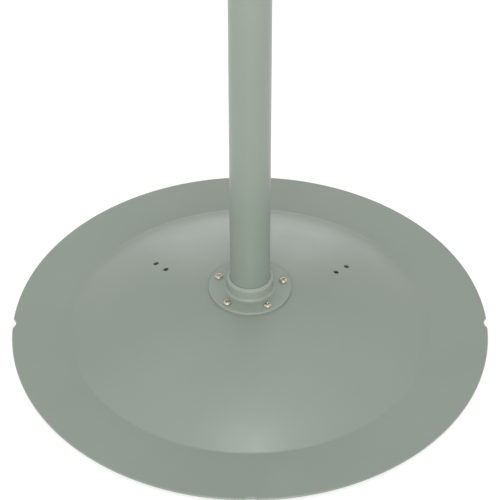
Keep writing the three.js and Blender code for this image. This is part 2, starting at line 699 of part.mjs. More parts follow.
function rearCover() {
  const shell = uprightSlab(headOutline, HEAD_SPLIT, HEAD_BACK);
  const room = uprightSlab(innerOutline, HEAD_SPLIT - 1, HEAD_BACK - SHELL);
  const pillars = COVER_SCREWS.map(([x, z]) => pin(5, HEAD_SPLIT, HEAD_BACK - 1, x, z, FACETS.screw));
  const wells = COVER_SCREWS.flatMap(([x, z]) => [
    pin(3.4, COVER_SCREW_SEAT, HEAD_BACK + 1, x, z, FACETS.screw),
    pin(1.9, HEAD_SPLIT - 1, HEAD_BACK, x, z, FACETS.screw),
  ]);
  const { half, radius } = KNUCKLE;
  const knuckle = towardsX(bar(radius, -half, half, FACETS.hub));
  const web = block([-half, HEAD_BACK - 1, -radius], [half, 0, radius]);
  const boltHole = towardsX(bar(BOLT_RADIUS + GAP, -30, 30, FACETS.small));
  // The wires come up from the yoke, through the web's underside and the cover's wall.
  const wireWay = block([-6, HEAD_BACK - 4, -radius - 1], [6, HEAD_BACK + 6, 4]);
  const [inside, outside] = [HEAD_BACK - 6, HEAD_BACK + 1];
  const buttonHole = pin(BUTTON.radius + GAP, inside, outside, BUTTON.x, BUTTON.z, FACETS.small);
  const port = panel(PORTS.width, PORTS.height, PORTS.corner, inside, outside);
  const portHole = moved(port, PORTS.x, 0, PORTS.z);
  const hollowShell = union(cut(shell, room), ...pillars, knuckle, web);
  return cut(hollowShell, ...wells, boltHole, wireWay, ...ventSlots, buttonHole, portHole);
}

// Connector block in the rear cover: a data socket and a round power socket in one moulding.
function connectorBlock() {
  const width = PORTS.width - 2 * GAP;
  const height = PORTS.height - 2 * GAP;
  const floor = HEAD_BACK - PORTS.depth;
  const body = moved(panel(width, height, PORTS.corner, floor - 4, HEAD_BACK - 1), PORTS.x, 0, PORTS.z);
  const data = block([PORTS.x - 17, floor, PORTS.z - 5], [PORTS.x - 1, HEAD_BACK, PORTS.z + 5]);
  const power = pin(4.5, floor, HEAD_BACK, PORTS.x + 12, PORTS.z, FACETS.screw);
  return cut(body, data, power);
}

// Push button with a flange behind the cover's wall.
function powerButton() {
  const lip = HEAD_BACK - SHELL - GAP;
  const profile = [
    [0, lip - 1.5],
    [BUTTON.radius + 2, lip - 1.5],
    [BUTTON.radius + 2, lip],
    [BUTTON.radius, lip],
    [BUTTON.radius, HEAD_BACK + 1.4],
    [BUTTON.radius - 0.8, HEAD_BACK + 2.2],
    [0, HEAD_BACK + 2.4],
  ];
  return moved(towardsBack(turned(profile, FACETS.small)), BUTTON.x, 0, BUTTON.z);
}

const behindFace = (depth) => HEAD_FRONT + depth;
const windowPanel = panel(WINDOW.width + 6, WINDOW.height + 6, 5, behindFace(3.1), behindFace(5.1));

add("front_bezel", atHead(frontBezel()), finishes.greyPlastic);
add("rear_cover", atHead(rearCover()), finishes.greyPlastic);
add("display_window", atHead(windowPanel), finishes.smokedWindow);
add("display_tube", atHead(panel(186, 50, 2, behindFace(6), behindFace(13))), finishes.displayGlass);
add("display_board", atHead(panel(200, 62, 1, behindFace(13.5), behindFace(15.1))), finishes.circuitBoard);
add("connector_block", atHead(connectorBlock()), finishes.blackPlastic);
add("power_button", atHead(powerButton()), finishes.blackPlastic);
COVER_SCREWS.forEach(([x, z], i) => {
  const screw = towardsBack(panScrew(M3, 18));
  add(`cover_screw_${i + 1}`, atHead(moved(screw, x, COVER_SCREW_SEAT + THIN_GAP, z)), finishes.zinc);
});

export default display;
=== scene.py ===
# %% [markdown]
# # A floor-standing customer display
#
# The object is a checkout stand: a domed steel base, a pole bolted on it, a mast that slides in the pole,
# and a display head that swivels and tilts. The engineering model already holds every size and joint. This
# lesson gives each visible piece its finished shape and each material its surface. Everything is in metres,
# with the origin on the floor under the pole, +Z up, and the display facing -Y.

import json
import math

import bmesh
import bpy
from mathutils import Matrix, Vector


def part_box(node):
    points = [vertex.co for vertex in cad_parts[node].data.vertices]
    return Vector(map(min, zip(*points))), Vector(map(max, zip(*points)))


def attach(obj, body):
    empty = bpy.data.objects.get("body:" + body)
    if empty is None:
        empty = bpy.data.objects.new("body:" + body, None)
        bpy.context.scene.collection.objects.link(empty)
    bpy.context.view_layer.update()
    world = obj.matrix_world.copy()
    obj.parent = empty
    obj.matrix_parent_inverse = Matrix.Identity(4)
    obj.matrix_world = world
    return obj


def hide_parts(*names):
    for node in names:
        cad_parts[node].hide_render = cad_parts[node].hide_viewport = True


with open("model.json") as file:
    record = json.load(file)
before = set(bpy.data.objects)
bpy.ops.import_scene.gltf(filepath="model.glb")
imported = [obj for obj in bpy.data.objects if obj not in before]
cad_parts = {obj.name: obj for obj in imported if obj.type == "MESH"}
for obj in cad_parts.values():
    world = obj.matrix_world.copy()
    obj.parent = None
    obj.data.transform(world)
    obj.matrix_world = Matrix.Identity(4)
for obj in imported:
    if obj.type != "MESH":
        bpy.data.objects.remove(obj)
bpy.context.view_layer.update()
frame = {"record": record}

# %% [markdown]
# ## Sizes
#
# A finished piece must land exactly where its engineering part is. So the sizes are read from the parts'
# boxes, not typed in again. Only what a box can't tell, such as a sheet's thickness or a fillet, is a named
# value here. Small sizes are easier to read in millimetres, so MM turns them into metres.

# %% Read places from the parts
MM = 0.001


def low_high(node):
    low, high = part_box(node)
    return Vector(low), Vector(high)


def middle(node):
    low, high = low_high(node)
    return (low + high) / 2


def radius_of(node):
    low, high = low_high(node)
    return (high.x - low.x) / 2


base_low, base_high = low_high("base_shell")
base_radius = radius_of("base_shell")
sheet = 3 * MM
brim_top = base_low.z + sheet
seat_top = base_high.z
print("base", round(base_radius * 2000), "mm wide, dome", round((seat_top - brim_top) * 1000), "mm high")

# %% [markdown]
# ## The camera
#
# The view is that of a standing person who looks down at the foot of the stand from a few steps away. A
# long lens keeps the base's circle close to a true ellipse, as a product picture does. The camera has no
# shift and no depth of field, so it can be turned to any other side and still show the stand sharply.

# %% Place the camera
eye_height = 1.6623  # above the brim
eye_distance = 1.8226
eye_side = -0.0037
look_down = 40.193
look_aside = -0.1165

camera_data = bpy.data.cameras.new("camera")
camera_data.sensor_width = 36
camera_data.lens = 138.24
camera = bpy.data.objects.new("camera", camera_data)
camera.location = (eye_side, -eye_distance, brim_top + eye_height)
camera.rotation_euler = (math.radians(90 - look_down), 0, math.radians(look_aside))
bpy.context.scene.collection.objects.link(camera)
bpy.context.scene.camera = camera
print("camera", round(camera.location.z, 2), "m up, looking down", look_down, "degrees")

# %% [markdown]
# ## Floor and light
#
# Paint shows its true colour in broad, soft light. A white floor and a bright surround send light back from
# all sides, as a studio's white sweep does, and give most of the light. A low panel behind the viewer
# brightens the pole and the dome's near side. A small one overhead, one on the left and one behind the
# stand shape the rest. The panels are hidden from the camera, so that the stand can be seen from any side.
# The floor glows from within, like a light table. The glow is painted light: it washes out the stand's shadow
# on the floor, and keeps the stand's outline crisp. Under the dome there is no glow, so the floor there keeps
# the shade that falls on it, and the dome's holes look dark. The standard view transform is chosen because
# the film-like ones would grey the white floor and shift the paint's green.

# %% Build the floor and the lamps
bpy.context.scene.view_settings.view_transform = "Standard"
floor_size = 60

floor_mesh = bpy.data.meshes.new("floor")
half = floor_size / 2
floor_corners = [(-half, -half, 0), (half, -half, 0), (half, half, 0), (-half, half, 0)]
floor_mesh.from_pydata(floor_corners, [], [(0, 1, 2, 3)])
floor = bpy.data.objects.new("floor", floor_mesh)
bpy.context.scene.collection.objects.link(floor)

floor_paint = bpy.data.materials.new("floor_paint")
floor_paint.use_nodes = True
floor_shader = floor_paint.node_tree.nodes["Principled BSDF"]
floor_tone, floor_glow = 0.30, 0.72
unlit_radius, lit_radius = 0.294, 0.30
floor_shader.inputs["Base Color"].default_value = (floor_tone, floor_tone, floor_tone, 1)
floor_shader.inputs["Roughness"].default_value = 0.9
floor_shader.inputs["Emission Color"].default_value = (1, 1, 1, 1)
floor_nodes, floor_links = floor_paint.node_tree.nodes, floor_paint.node_tree.links
# The floor's emission is painted light that washes out the stand's shadow. It is zero under the dome and
# rises to full just inside the brim's edge.
from_centre = floor_nodes.new("ShaderNodeVectorMath")
from_centre.operation = "LENGTH"
glow = floor_nodes.new("ShaderNodeMapRange")
for socket, number in (("From Min", unlit_radius), ("From Max", lit_radius), ("To Max", floor_glow)):
    glow.inputs[socket].default_value = number
floor_links.new(floor_nodes.new("ShaderNodeTexCoord").outputs["Object"], from_centre.inputs[0])
floor_links.new(from_centre.outputs["Value"], glow.inputs["Value"])
floor_links.new(glow.outputs["Result"], floor_shader.inputs["Emission Strength"])
floor_mesh.materials.append(floor_paint)

world = bpy.data.worlds.new("surround")
world.use_nodes = True
world.node_tree.nodes["Background"].inputs["Color"].default_value = (1.0, 1.0, 1.0, 1)
world.node_tree.nodes["Background"].inputs["Strength"].default_value = 1.0
bpy.context.scene.world = world


def light_panel(name, place, aim, size, watts):
    """A square lamp, its size in metres, turned towards a point."""
    data = bpy.data.lights.new(name, "AREA")
    data.size = size
    data.energy = watts
    panel = bpy.data.objects.new(name, data)
    panel.location = place
    panel.rotation_mode = "QUATERNION"
    panel.rotation_quaternion = (Vector(aim) - Vector(place)).to_track_quat("-Z", "Y")
    panel.visible_camera = False
    bpy.context.scene.collection.objects.link(panel)
    return panel


light_panel("overhead_panel", (0, -1.3, 3.2), (0, -0.3, 0), 1.2, 17)
light_panel("front_panel", (0, -4.0, 1.2), (0, 0, 0.2), 2.0, 96)
light_panel("left_panel", (-3.4, 0, 1.8), (0, 0, 0.2), 2.2, 9)
light_panel("back_panel", (0, 4.0, 1.2), (0, 0, 0.2), 2.4, 14)
print("floor", floor_size, "m wide and four light panels")

# %% [markdown]
# ## Making materials
#
# Every finish is built from a few procedural nodes, so it has detail at any distance and needs no pictures.
# All of them start from object coordinates, which travel with a moving piece. A helper makes the shader,
# and small helpers add noise, blend two colours by it, and turn it into bumps.

# %% Helpers for shader nodes
class Finish:
    """One material, with short ways to add the nodes that the finishes share."""

    def __init__(self, name, **uniform):
        self.material = bpy.data.materials.new(name)
        self.material.use_nodes = True
        self.nodes = self.material.node_tree.nodes
        self.links = self.material.node_tree.links
        self.shader = self.nodes["Principled BSDF"]
        self.place = self.nodes.new("ShaderNodeTexCoord").outputs["Object"]
        for socket, value in uniform.items():
            self.shader.inputs[socket.replace("_", " ")].default_value = value

    def noise(self, scale, detail=3.0, roughness=0.5, stretch=None):
        """Soft random pattern; scale is its blotches per metre."""
        texture = self.nodes.new("ShaderNodeTexNoise")
        texture.inputs["Scale"].default_value = scale
        texture.inputs["Detail"].default_value = detail
        texture.inputs["Roughness"].default_value = roughness
        source = self.place
        if stretch:
            mapping = self.nodes.new("ShaderNodeMapping")
            mapping.inputs["Scale"].default_value = stretch
            self.links.new(self.place, mapping.inputs["Vector"])
            source = mapping.outputs["Vector"]
        self.links.new(source, texture.inputs["Vector"])
        return texture.outputs["Fac"]

    def cells(self, scale, feature="F1"):
        """Pattern of small cells, such as crystals or pebbles."""
        texture = self.nodes.new("ShaderNodeTexVoronoi")
        texture.feature = feature
        texture.inputs["Scale"].default_value = scale
        self.links.new(self.place, texture.inputs["Vector"])
        return texture.outputs["Distance"]

    def remap(self, value, low, high, to_low, to_high):
        """Moves a value from one range to another."""
        node = self.nodes.new("ShaderNodeMapRange")
        for name, number in (("From Min", low), ("From Max", high), ("To Min", to_low), ("To Max", to_high)):
            node.inputs[name].default_value = number
        self.links.new(value, node.inputs["Value"])
        return node.outputs["Result"]

    def blend(self, factor, first, second):
        """Blends two colours, or a colour over a socket, by a factor."""
        node = self.nodes.new("ShaderNodeMix")
        node.data_type = "RGBA"
        for socket, colour in (("A", first), ("B", second)):
            target = next(s for s in node.inputs if s.name == socket and s.type == "RGBA")
            if isinstance(colour, tuple):
                target.default_value = (*colour, 1)
            else:
                self.links.new(colour, target)
        self.links.new(factor, node.inputs["Factor"])
        return next(s for s in node.outputs if s.type == "RGBA")

    def worn_edges(self, reach=0.5 * MM):
        """1 on outward edges, where hands and cloths rub, and 0 elsewhere.

        The surface turns within a short reach only at an edge. Pointiness alone would streak across big
        faces, since it is known only at their corners, so here it just leaves out the inward edges.
        """
        geometry = self.nodes.new("ShaderNodeNewGeometry").outputs
        rounded = self.nodes.new("ShaderNodeBevel")
        rounded.samples = 4
        rounded.inputs["Radius"].default_value = reach
        agreement = self.nodes.new("ShaderNodeVectorMath")
        agreement.operation = "DOT_PRODUCT"
        self.links.new(rounded.outputs["Normal"], agreement.inputs[0])
        self.links.new(geometry["Normal"], agreement.inputs[1])
        turning = self.remap(agreement.outputs["Value"], 0.99, 0.88, 0.0, 1.0)
        outward = self.remap(geometry["Pointiness"], 0.50, 0.52, 0.0, 1.0)
        both = self.nodes.new("ShaderNodeMath")
        both.operation = "MULTIPLY"
        self.links.new(turning, both.inputs[0])
        self.links.new(outward, both.inputs[1])
        return both.outputs["Value"]

    def bumps(self, *layers):
        """Stacks (pattern, height in metres) layers of bump onto the shader."""
        normal = None
        for height, depth in layers:
            node = self.nodes.new("ShaderNodeBump")
            node.inputs["Distance"].default_value = depth
            self.links.new(height, node.inputs["Height"])
            if normal:
                self.links.new(normal, node.inputs["Normal"])
            normal = node.outputs["Normal"]
        self.links.new(normal, self.shader.inputs["Normal"])

    def feed(self, socket, value):
        self.links.new(value, self.shader.inputs[socket])


print("shader helpers ready")

# %% [markdown]
# ## Powder coat
#
# The base, flange, pole, mast and yoke wear a grey-green powder coat, duller on the flange. The flange's copy
# is also painted a shade paler: painted light against the shade that falls round the pole's foot. It is
# baked paint: satin, a little uneven in depth, with a very fine orange peel, and thinner and lighter along
# edges. Three scales of noise do this: wide patches for tone, millimetre ripples for the peel, and specks for
# the grain.

# %% Powder coat
def powder_coat(name, colour, gloss=0.30):
    deeper = tuple(c * 0.975 for c in colour)
    paler = tuple(c * 1.025 for c in colour)
    rubbed = tuple(min(1, c * 1.22 + 0.02) for c in colour)
    coat = Finish(name, Specular_IOR_Level=0.5, Coat_Weight=0.12, Coat_Roughness=0.22)
    patches = coat.noise(7, detail=4)
    grain = coat.noise(1400, detail=2)
    tone = coat.blend(coat.remap(patches, 0.35, 0.65, 0, 1), deeper, paler)
    speckled = coat.blend(coat.remap(grain, 0.62, 0.8, 0, 0.25), tone, rubbed)
    coat.feed("Base Color", coat.blend(coat.worn_edges(), speckled, rubbed))
    smears = coat.noise(26, detail=5, stretch=(1, 1, 0.35))
    coat.feed("Roughness", coat.remap(smears, 0.3, 0.7, gloss, gloss + 0.08))
    peel = coat.noise(420, detail=2)
    coat.bumps((peel, 0.00006), (grain, 0.00002))
    return coat.material


sage = (0.181, 0.214, 0.181)
base_paint = powder_coat("powder_coat_base", sage)
pole_paint = powder_coat("powder_coat_pole", sage)
# The flange's copy is duller, and painted 12 percent lighter: the lighter tone is painted light against the
# shade round the pole's foot.
flange_coat_painted_lighter = powder_coat("powder_coat_flange_painted_lighter", tuple(c * 1.12 for c in sage), 0.46)
print("powder coat", [round(c, 3) for c in sage])

# %% [markdown]
# ## Plated and bare metals
#
# The flange screws are zinc-plated steel with a yellow chromate, which drifts between straw, pink and
# green. The other hardware has the clear bluish kind, with faint crystals. Both have fine tool marks, and
# are brighter where they are rubbed.

# %% Plated steel
def plated(name, main, drift, shine):
    metal = Finish(name, Metallic=1.0)
    film = metal.noise(160, detail=3)
    crystals = metal.cells(700)
    tinted = metal.blend(metal.remap(film, 0.38, 0.62, 0, 1), main, drift)
    rubbed = tuple(min(1, c * 1.25) for c in main)
    metal.feed("Base Color", metal.blend(metal.worn_edges(), tinted, rubbed))
    metal.feed("Roughness", metal.remap(crystals, 0, 0.8, shine, shine + 0.14))
    scratches = metal.noise(900, detail=2, stretch=(1, 1, 0.1))
    metal.bumps((crystals, 0.00002), (scratches, 0.00003))
    return metal.material


yellow_zinc = plated("yellow_zinc", (0.50, 0.44, 0.34), (0.45, 0.42, 0.35), 0.34)
clear_zinc = plated("clear_zinc", (0.46, 0.48, 0.50), (0.52, 0.53, 0.54), 0.28)
print("two platings")

# %% [markdown]
# ## Plastics and rubber
#
# Moulded plastic copies the spark-eroded texture of its tool: tiny rounded pits, the same all over, which
# spread the light. Cells at a third of a millimetre give that. Rubber is darker and duller, with a dusty
# bloom. Nylon bushes are smoother, and let a little light into them.

# %% Moulded plastics and rubber
def moulded(name, colour, roughness, pit_scale=2600, pit_depth=0.00005):
    plastic = Finish(name)
    pits = plastic.cells(pit_scale)
    clouds = plastic.noise(18, detail=3)
    paler = tuple(min(1, c * 1.12 + 0.004) for c in colour)
    rubbed = tuple(min(1, c * 1.45 + 0.015) for c in colour)
    toned = plastic.blend(plastic.remap(clouds, 0.35, 0.65, 0, 1), colour, paler)
    plastic.feed("Base Color", plastic.blend(plastic.worn_edges(), toned, rubbed))
    plastic.feed("Roughness", plastic.remap(clouds, 0.3, 0.7, roughness - 0.05, roughness + 0.06))
    plastic.bumps((pits, pit_depth))
    return plastic.material


def natural_nylon(name):
    nylon = moulded(name, (0.56, 0.55, 0.51), 0.42, 900, 0.00002)
    shader = nylon.node_tree.nodes["Principled BSDF"]
    shader.inputs["Subsurface Weight"].default_value = 0.15
    shader.inputs["Subsurface Scale"].default_value = 0.002
    return nylon


charcoal_plastic = moulded("charcoal_plastic", (0.020, 0.021, 0.022), 0.5)
casing_plastic = moulded("casing_plastic", (0.170, 0.196, 0.172), 0.46)
black_rubber = moulded("black_rubber", (0.018, 0.019, 0.019), 0.75, 1500, 0.00008)
nylon_white = natural_nylon("nylon_white")
print("four moulded materials")

# %% [markdown]
# ## Making shapes
#
# Most pieces of a stand are turned on a lathe or cut from a flat outline. So two makers cover nearly all of
# them. One turns a profile of (radius, height) points about the pole's axis. The other gives an outline a
# thickness. Real corners are never sharp: they catch a thin line of light. `eased` therefore rounds a
# profile's corners before it is turned, and a bevel does the same for a slab. Holes and slots are carved
# afterwards.

# %% Helpers for shapes
def eased(points, radius=0.4 * MM, steps=3, closed=True):
    """Rounds the corners of a profile. A point may carry its own radius as a third number."""
    rounded = []
    count = len(points)
    for i, (x, y, *own) in enumerate(points):
        corner = Vector((x, y))
        before = Vector(points[i - 1][:2]) - corner
        after = Vector(points[(i + 1) % count][:2]) - corner
        wanted = own[0] if own else radius
        on_axis = x < 1e-7
        at_end = not closed and i in (0, count - 1)
        if on_axis or at_end or wanted < 1e-7 or before.length < 1e-7 or after.length < 1e-7:
            rounded.append((x, y))
            continue
        half_angle = before.angle(after) / 2
        back = min(wanted / math.tan(half_angle), before.length * 0.48, after.length * 0.48)
        start = corner + before.normalized() * back
        end = corner + after.normalized() * back
        for step in range(steps + 1):
            t = step / steps
            point = start * (1 - t) ** 2 + corner * 2 * t * (1 - t) + end * t**2
            rounded.append((point.x, point.y))
    return rounded


def new_piece(name, mesh):
    piece = bpy.data.objects.new(name, mesh)
    bpy.context.scene.collection.objects.link(piece)
    return piece


def shade(mesh, angle=38):
    """Smooth shading, with hard edges where faces meet at more than the angle."""
    mesh.shade_smooth()
    mesh.set_sharp_from_angle(angle=math.radians(angle))


def turned(name, profile, around=96):
    """A solid of revolution about Z from a closed profile of (radius, height)."""
    shape = bmesh.new()
    turns = [2 * math.pi * i / around for i in range(around)]
    rings = []
    for radius, height in profile:
        if radius < 1e-7:
            rings.append([shape.verts.new((0, 0, height))])
        else:
            circle = [(radius * math.cos(a), radius * math.sin(a), height) for a in turns]
            rings.append([shape.verts.new(point) for point in circle])
    for ring, following in zip(rings, rings[1:] + rings[:1]):
        if len(ring) == 1 and len(following) == 1:
            continue
        for i in range(around):
            j = (i + 1) % around
            corners = [ring[i % len(ring)], ring[j % len(ring)]]
            corners += [following[j % len(following)], following[i % len(following)]]
            shape.faces.new(list(dict.fromkeys(corners)))
    bmesh.ops.recalc_face_normals(shape, faces=shape.faces)
    mesh = bpy.data.meshes.new(name)
    shape.to_mesh(mesh)
    shape.free()
    shade(mesh)
    return new_piece(name, mesh)


def slab(name, outline, bottom, top, bevel=0.0, segments=3):
    """A flat outline of (x, y) made solid between two heights, with rounded edges."""
    shape = bmesh.new()
    lower = [shape.verts.new((x, y, bottom)) for x, y in outline]
    upper = [shape.verts.new((x, y, top)) for x, y in outline]
    shape.faces.new(lower[::-1])
    shape.faces.new(upper)
    for i in range(len(outline)):
        j = (i + 1) % len(outline)
        shape.faces.new((lower[i], lower[j], upper[j], upper[i]))
    bmesh.ops.recalc_face_normals(shape, faces=shape.faces)
    if bevel:
        crisp = [edge for edge in shape.edges if edge.calc_face_angle(0) > math.radians(50)]
        bmesh.ops.bevel(
            shape,
            geom=crisp,
            offset=bevel,
            segments=segments,
            profile=0.5,
            affect="EDGES",
            clamp_overlap=True,
        )
    mesh = bpy.data.meshes.new(name)
    shape.to_mesh(mesh)
    shape.free()
    shade(mesh)
    return new_piece(name, mesh)


def arc_points(centre, radius, start, end, steps):
    """Points on an arc, angles in degrees, both ends included."""
    angles = [math.radians(start + (end - start) * i / steps) for i in range(steps + 1)]
    return [(centre[0] + radius * math.cos(a), centre[1] + radius * math.sin(a)) for a in angles]


def rectangle(left, bottom, right, top):
    """Outline of a rectangle between two corners."""
    return [(left, bottom), (right, bottom), (right, top), (left, top)]


def hexagon_outline(corner):
    """Outline of a hexagon with its corners at a distance from the centre."""
    turns = [math.radians(60 * i) for i in range(6)]
    return [(corner * math.cos(a), corner * math.sin(a)) for a in turns]


def rounded_box(width, height, corner, steps=10):
    """Outline of a rectangle with round corners, centred on the origin."""
    x, y = width / 2 - corner, height / 2 - corner
    outline = []
    for centre, start in (((x, -y), -90), ((x, y), 0), ((-x, y), 90), ((-x, -y), 180)):
        outline += arc_points(centre, corner, start, start + 90, steps)
    return outline


def bar(radius, bottom, top, around=48):
    """A plain round cutter or rod along Z."""
    return turned("bar", [(0, bottom), (radius, bottom), (radius, top), (0, top)], around)


def box(low, high):
    (x0, y0, z0), (x1, y1, z1) = low, high
    return slab("box", [(x0, y0), (x1, y0), (x1, y1), (x0, y1)], z0, z1)


def place(piece, spin=0, lean=None, at=(0, 0, 0)):
    """Turns a piece about Z, then leans its Z axis towards "x" or "y", then moves it."""
    for vertex in piece.data.vertices:
        point = vertex.co.copy()
        c, s = math.cos(math.radians(spin)), math.sin(math.radians(spin))
        point = Vector((c * point.x - s * point.y, s * point.x + c * point.y, point.z))
        if lean == "x":
            point = Vector((point.z, point.y, -point.x))
        if lean == "y":
            point = Vector((point.x, point.z, -point.y))
        vertex.co = point + Vector(at)
    return piece


def combine(piece, tool, operation):
    """Joins or carves a piece with a tool, which is used up."""
    modifier = piece.modifiers.new("combine", "BOOLEAN")
    modifier.operation = operation
    modifier.solver = "EXACT"
    modifier.object = tool
    evaluated = piece.evaluated_get(bpy.context.evaluated_depsgraph_get())
    mesh = bpy.data.meshes.new_from_object(evaluated)
    piece.modifiers.clear()
    piece.data = mesh
    bpy.data.objects.remove(tool)


def carve(piece, *tools):
    for tool in tools:
        combine(piece, tool, "DIFFERENCE")
    shade(piece.data)
    return piece


def join(piece, *others):
    for other in others:
        combine(piece, other, "UNION")
    shade(piece.data)
    return piece


def deliver(piece, name, node, material):
    """Names a finished piece, paints it, and puts it in place of its engineering part."""
    piece.name = name
    piece.data.name = name
    piece.data.materials.clear()
    piece.data.materials.append(material)
    flats = piece.modifiers.new("flat_faces_stay_flat", "WEIGHTED_NORMAL")
    flats.keep_sharp = True
    body = next(b for b, nodes in frame["record"]["behaviour"]["bodies"].items() if node in nodes)
    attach(piece, body)
    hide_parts(node)
    return piece


print("shape helpers ready")

# %% [markdown]
# ## The base
#
# The base is one round steel sheet, spun over a form: a flat brim, a sharp crease, and a shallow dome that
# ends in a flat seat for the flange. A sphere through the seat's edge and the crease gives the dome, and a
# small fillet joins it to the brim. The brim's edge is rounded off. Four shallow notches in the brim locate
# the base in its carton, and two pairs of small holes stay free for accessories. A turned profile makes all
# of this but the notches and holes, which are carved. Smooth shading would bend the flat brim's look
# towards its round edge, so every delivered piece weights its normals by face size, and flat faces stay
# flat.

# %% Turn the base
brim_rings = [r * MM for r in (245, 262, 280, 292, 299)]  # closer near the notches, to keep the faces small


def base_profile():
    crease_radius, seat_radius, fillet = 231 * MM, 54 * MM, 6 * MM
    edge = sheet * 0.5
    centre = (seat_top**2 + seat_radius**2 - brim_top**2 - crease_radius**2) / (2 * (seat_top - brim_top))
    dome = math.hypot(seat_radius, seat_top - centre)
    fillet_z = brim_top + fillet
    fillet_r = math.sqrt((dome + fillet) ** 2 - (fillet_z - centre) ** 2)
    low = math.degrees(math.atan2(fillet_z - centre, fillet_r))
    high = math.degrees(math.acos(seat_radius / dome))
    under = dome - sheet
    high_under = math.degrees(math.asin((base_high.z - sheet - centre) / under))
    return [
        (0, seat_top),
        (20 * MM, seat_top),
        *arc_points((0, centre), dome, high, low, 34),
        *arc_points((fillet_r, fillet_z), fillet, low + 180, 270, 6)[1:],
        *[(r, brim_top) for r in brim_rings],
        *arc_points((base_radius - edge, brim_top - edge), edge, 90, -90, 10),
        *[(r, brim_top - sheet) for r in reversed(brim_rings)],
        *arc_points((fillet_r, fillet_z), fillet + sheet, 270, low + 180, 6),
        *arc_points((0, centre), under, low, high_under, 24)[1:],
        (0, seat_top - sheet),
    ]


def around_axis(reach, degrees):
    return reach * math.cos(math.radians(degrees)), reach * math.sin(math.radians(degrees))


def upright_bar(radius, bottom, top, reach, degrees, around=48):
    x, y = around_axis(reach, degrees)
    return place(bar(radius, bottom, top, around), at=(x, y, 0))


screw_circle = 43.2 * MM
screw_clearance = 3.4 * MM
screw_turns = [12.4 + 72 * i for i in range(5)]
notch_radius, notch_reach = 13 * MM, base_radius + 8.9 * MM
accessory_hole = 3.5 * MM
accessory_turn = -1.5
accessory_places = [(140 * MM, 28.3), (119.6 * MM, 23.7)]

base = turned("base", base_profile(), around=192)
cutters = [upright_bar(notch_radius, 0, 20 * MM, notch_reach, turn, 64) for turn in (0, 90, 180, 270)]
for reach, turn in accessory_places:
    for side in (turn, 180 - turn):
        cutters.append(upright_bar(accessory_hole, 20 * MM, 70 * MM, reach, side + accessory_turn, 32))
cutters += [upright_bar(screw_clearance, 50 * MM, 80 * MM, screw_circle, turn, 24) for turn in screw_turns]
carve(base, *cutters)
deliver(base, "base_dome", "base_shell", base_paint)
print("base with", len(base.data.polygons), "faces")

# %% [markdown]
# ## Feet
#
# Four rubber pads keep the sheet off the floor and stop it from sliding. Each is a low disc with a soft rim
# and a shallow recess below, so that it sits on a ring.

# %% Rubber feet
def foot_pad(node):
    low, high = low_high(node)
    radius = (high.x - low.x) / 2
    profile = [
        (0, low.z + 0.8 * MM),
        (radius * 0.55, low.z + 0.8 * MM),
        (radius * 0.6, low.z),
        (radius - 1 * MM, low.z),
        (radius, low.z + 1 * MM),
        (radius - 1.4 * MM, high.z),
        (0, high.z),
    ]
    pad = turned(node, eased(profile, 0.4 * MM), 48)
    centre = middle(node)
    return place(pad, at=(centre.x, centre.y, 0))


for number in range(1, 5):
    node = f"foot_pad_{number}"
    deliver(foot_pad(node), f"rubber_foot_{number}", node, black_rubber)
print("four feet")

# %% [markdown]
# ## The flange
#
# A cast flange takes the pole's end: a thin round plate with a tall boss. A generous fillet joins them and
# carries the bending load, and a chamfer leads the eye from the boss to the pole. The profile has arcs for
# the fillet and the rims, so that each catches its own line of light. At the back, a set screw locks the
# pole.

# %% Turn the flange
flange_low, flange_high = low_high("pole_flange")
flange_radius = radius_of("pole_flange")
plate_top = flange_low.z + 3.2 * MM
boss_radius = 29.3 * MM
boss_fillet = 3.8 * MM
pole_radius = radius_of("pole_tube")
socket = pole_radius + 0.15 * MM
lock_height = flange_high.z - 8.5 * MM


def flange_profile():
    shoulder = pole_radius - 3.1 * MM
    rim = 1.1 * MM
    return [
        (shoulder, flange_low.z),
        (flange_radius, flange_low.z),
        *arc_points((flange_radius - rim, plate_top - rim), rim, 0, 90, 5),
        *arc_points((boss_radius + boss_fillet, plate_top + boss_fillet), boss_fillet, 270, 180, 8),
        *eased(
            [
                (boss_radius, flange_high.z - 6 * MM, 0),
                (boss_radius, flange_high.z - 3.1 * MM, 1.2 * MM),
                (socket + 1.1 * MM, flange_high.z, 0.7 * MM),
                (socket, flange_high.z, 0.2 * MM),
                (socket, flange_low.z + 4 * MM, 0),
            ],
            closed=False,
        ),
        (shoulder, flange_low.z + 4 * MM),
    ]


def back_bar(radius, front, back, height, around=32):
    """A round bar along Y, behind the pole."""
    return place(bar(radius, front, back, around), lean="y", at=(0, 0, height))


flange = turned("flange", flange_profile(), 128)
holes = [upright_bar(screw_clearance, 50 * MM, 90 * MM, screw_circle, turn, 24) for turn in screw_turns]
carve(flange, back_bar(2.7 * MM, 20 * MM, 40 * MM, lock_height), *holes)
deliver(flange, "flange_and_boss", "pole_flange", flange_coat_painted_lighter)
boss_height = flange_high.z - plate_top
print("flange", round(flange_radius * 2000), "mm wide, boss", round(boss_height * 1000), "mm high")

# %% [markdown]
# ## Screws
#
# A pan head is a low dome with upright sides, and its cross recess has four tapered wings. The thread
# starts below a short plain neck. It is part of the turned profile, as a zigzag of roots and crests: a true
# helix looks the same at this size and costs far more faces. Every screw was tightened to its own angle, so
# each recess points its own way.

# %% Pan head screws
def cross_recess(reach, width, floor, top):
    """Tapered cross-shaped cutter standing on its floor."""
    wings = []
    for turn in (0, 90):
        outline = [(-reach, floor + (top - floor) * 0.5), (-reach * 0.45, floor), (reach * 0.45, floor)]
        outline += [(reach, floor + (top - floor) * 0.5), (reach, top + 1 * MM), (-reach, top + 1 * MM)]
        wing = slab("wing", outline, -width / 2, width / 2)
        for vertex in wing.data.vertices:
            x, y, z = vertex.co
            vertex.co = (x, -z, y)
        wings.append(place(wing, spin=turn))
    return join(wings[0], wings[1])


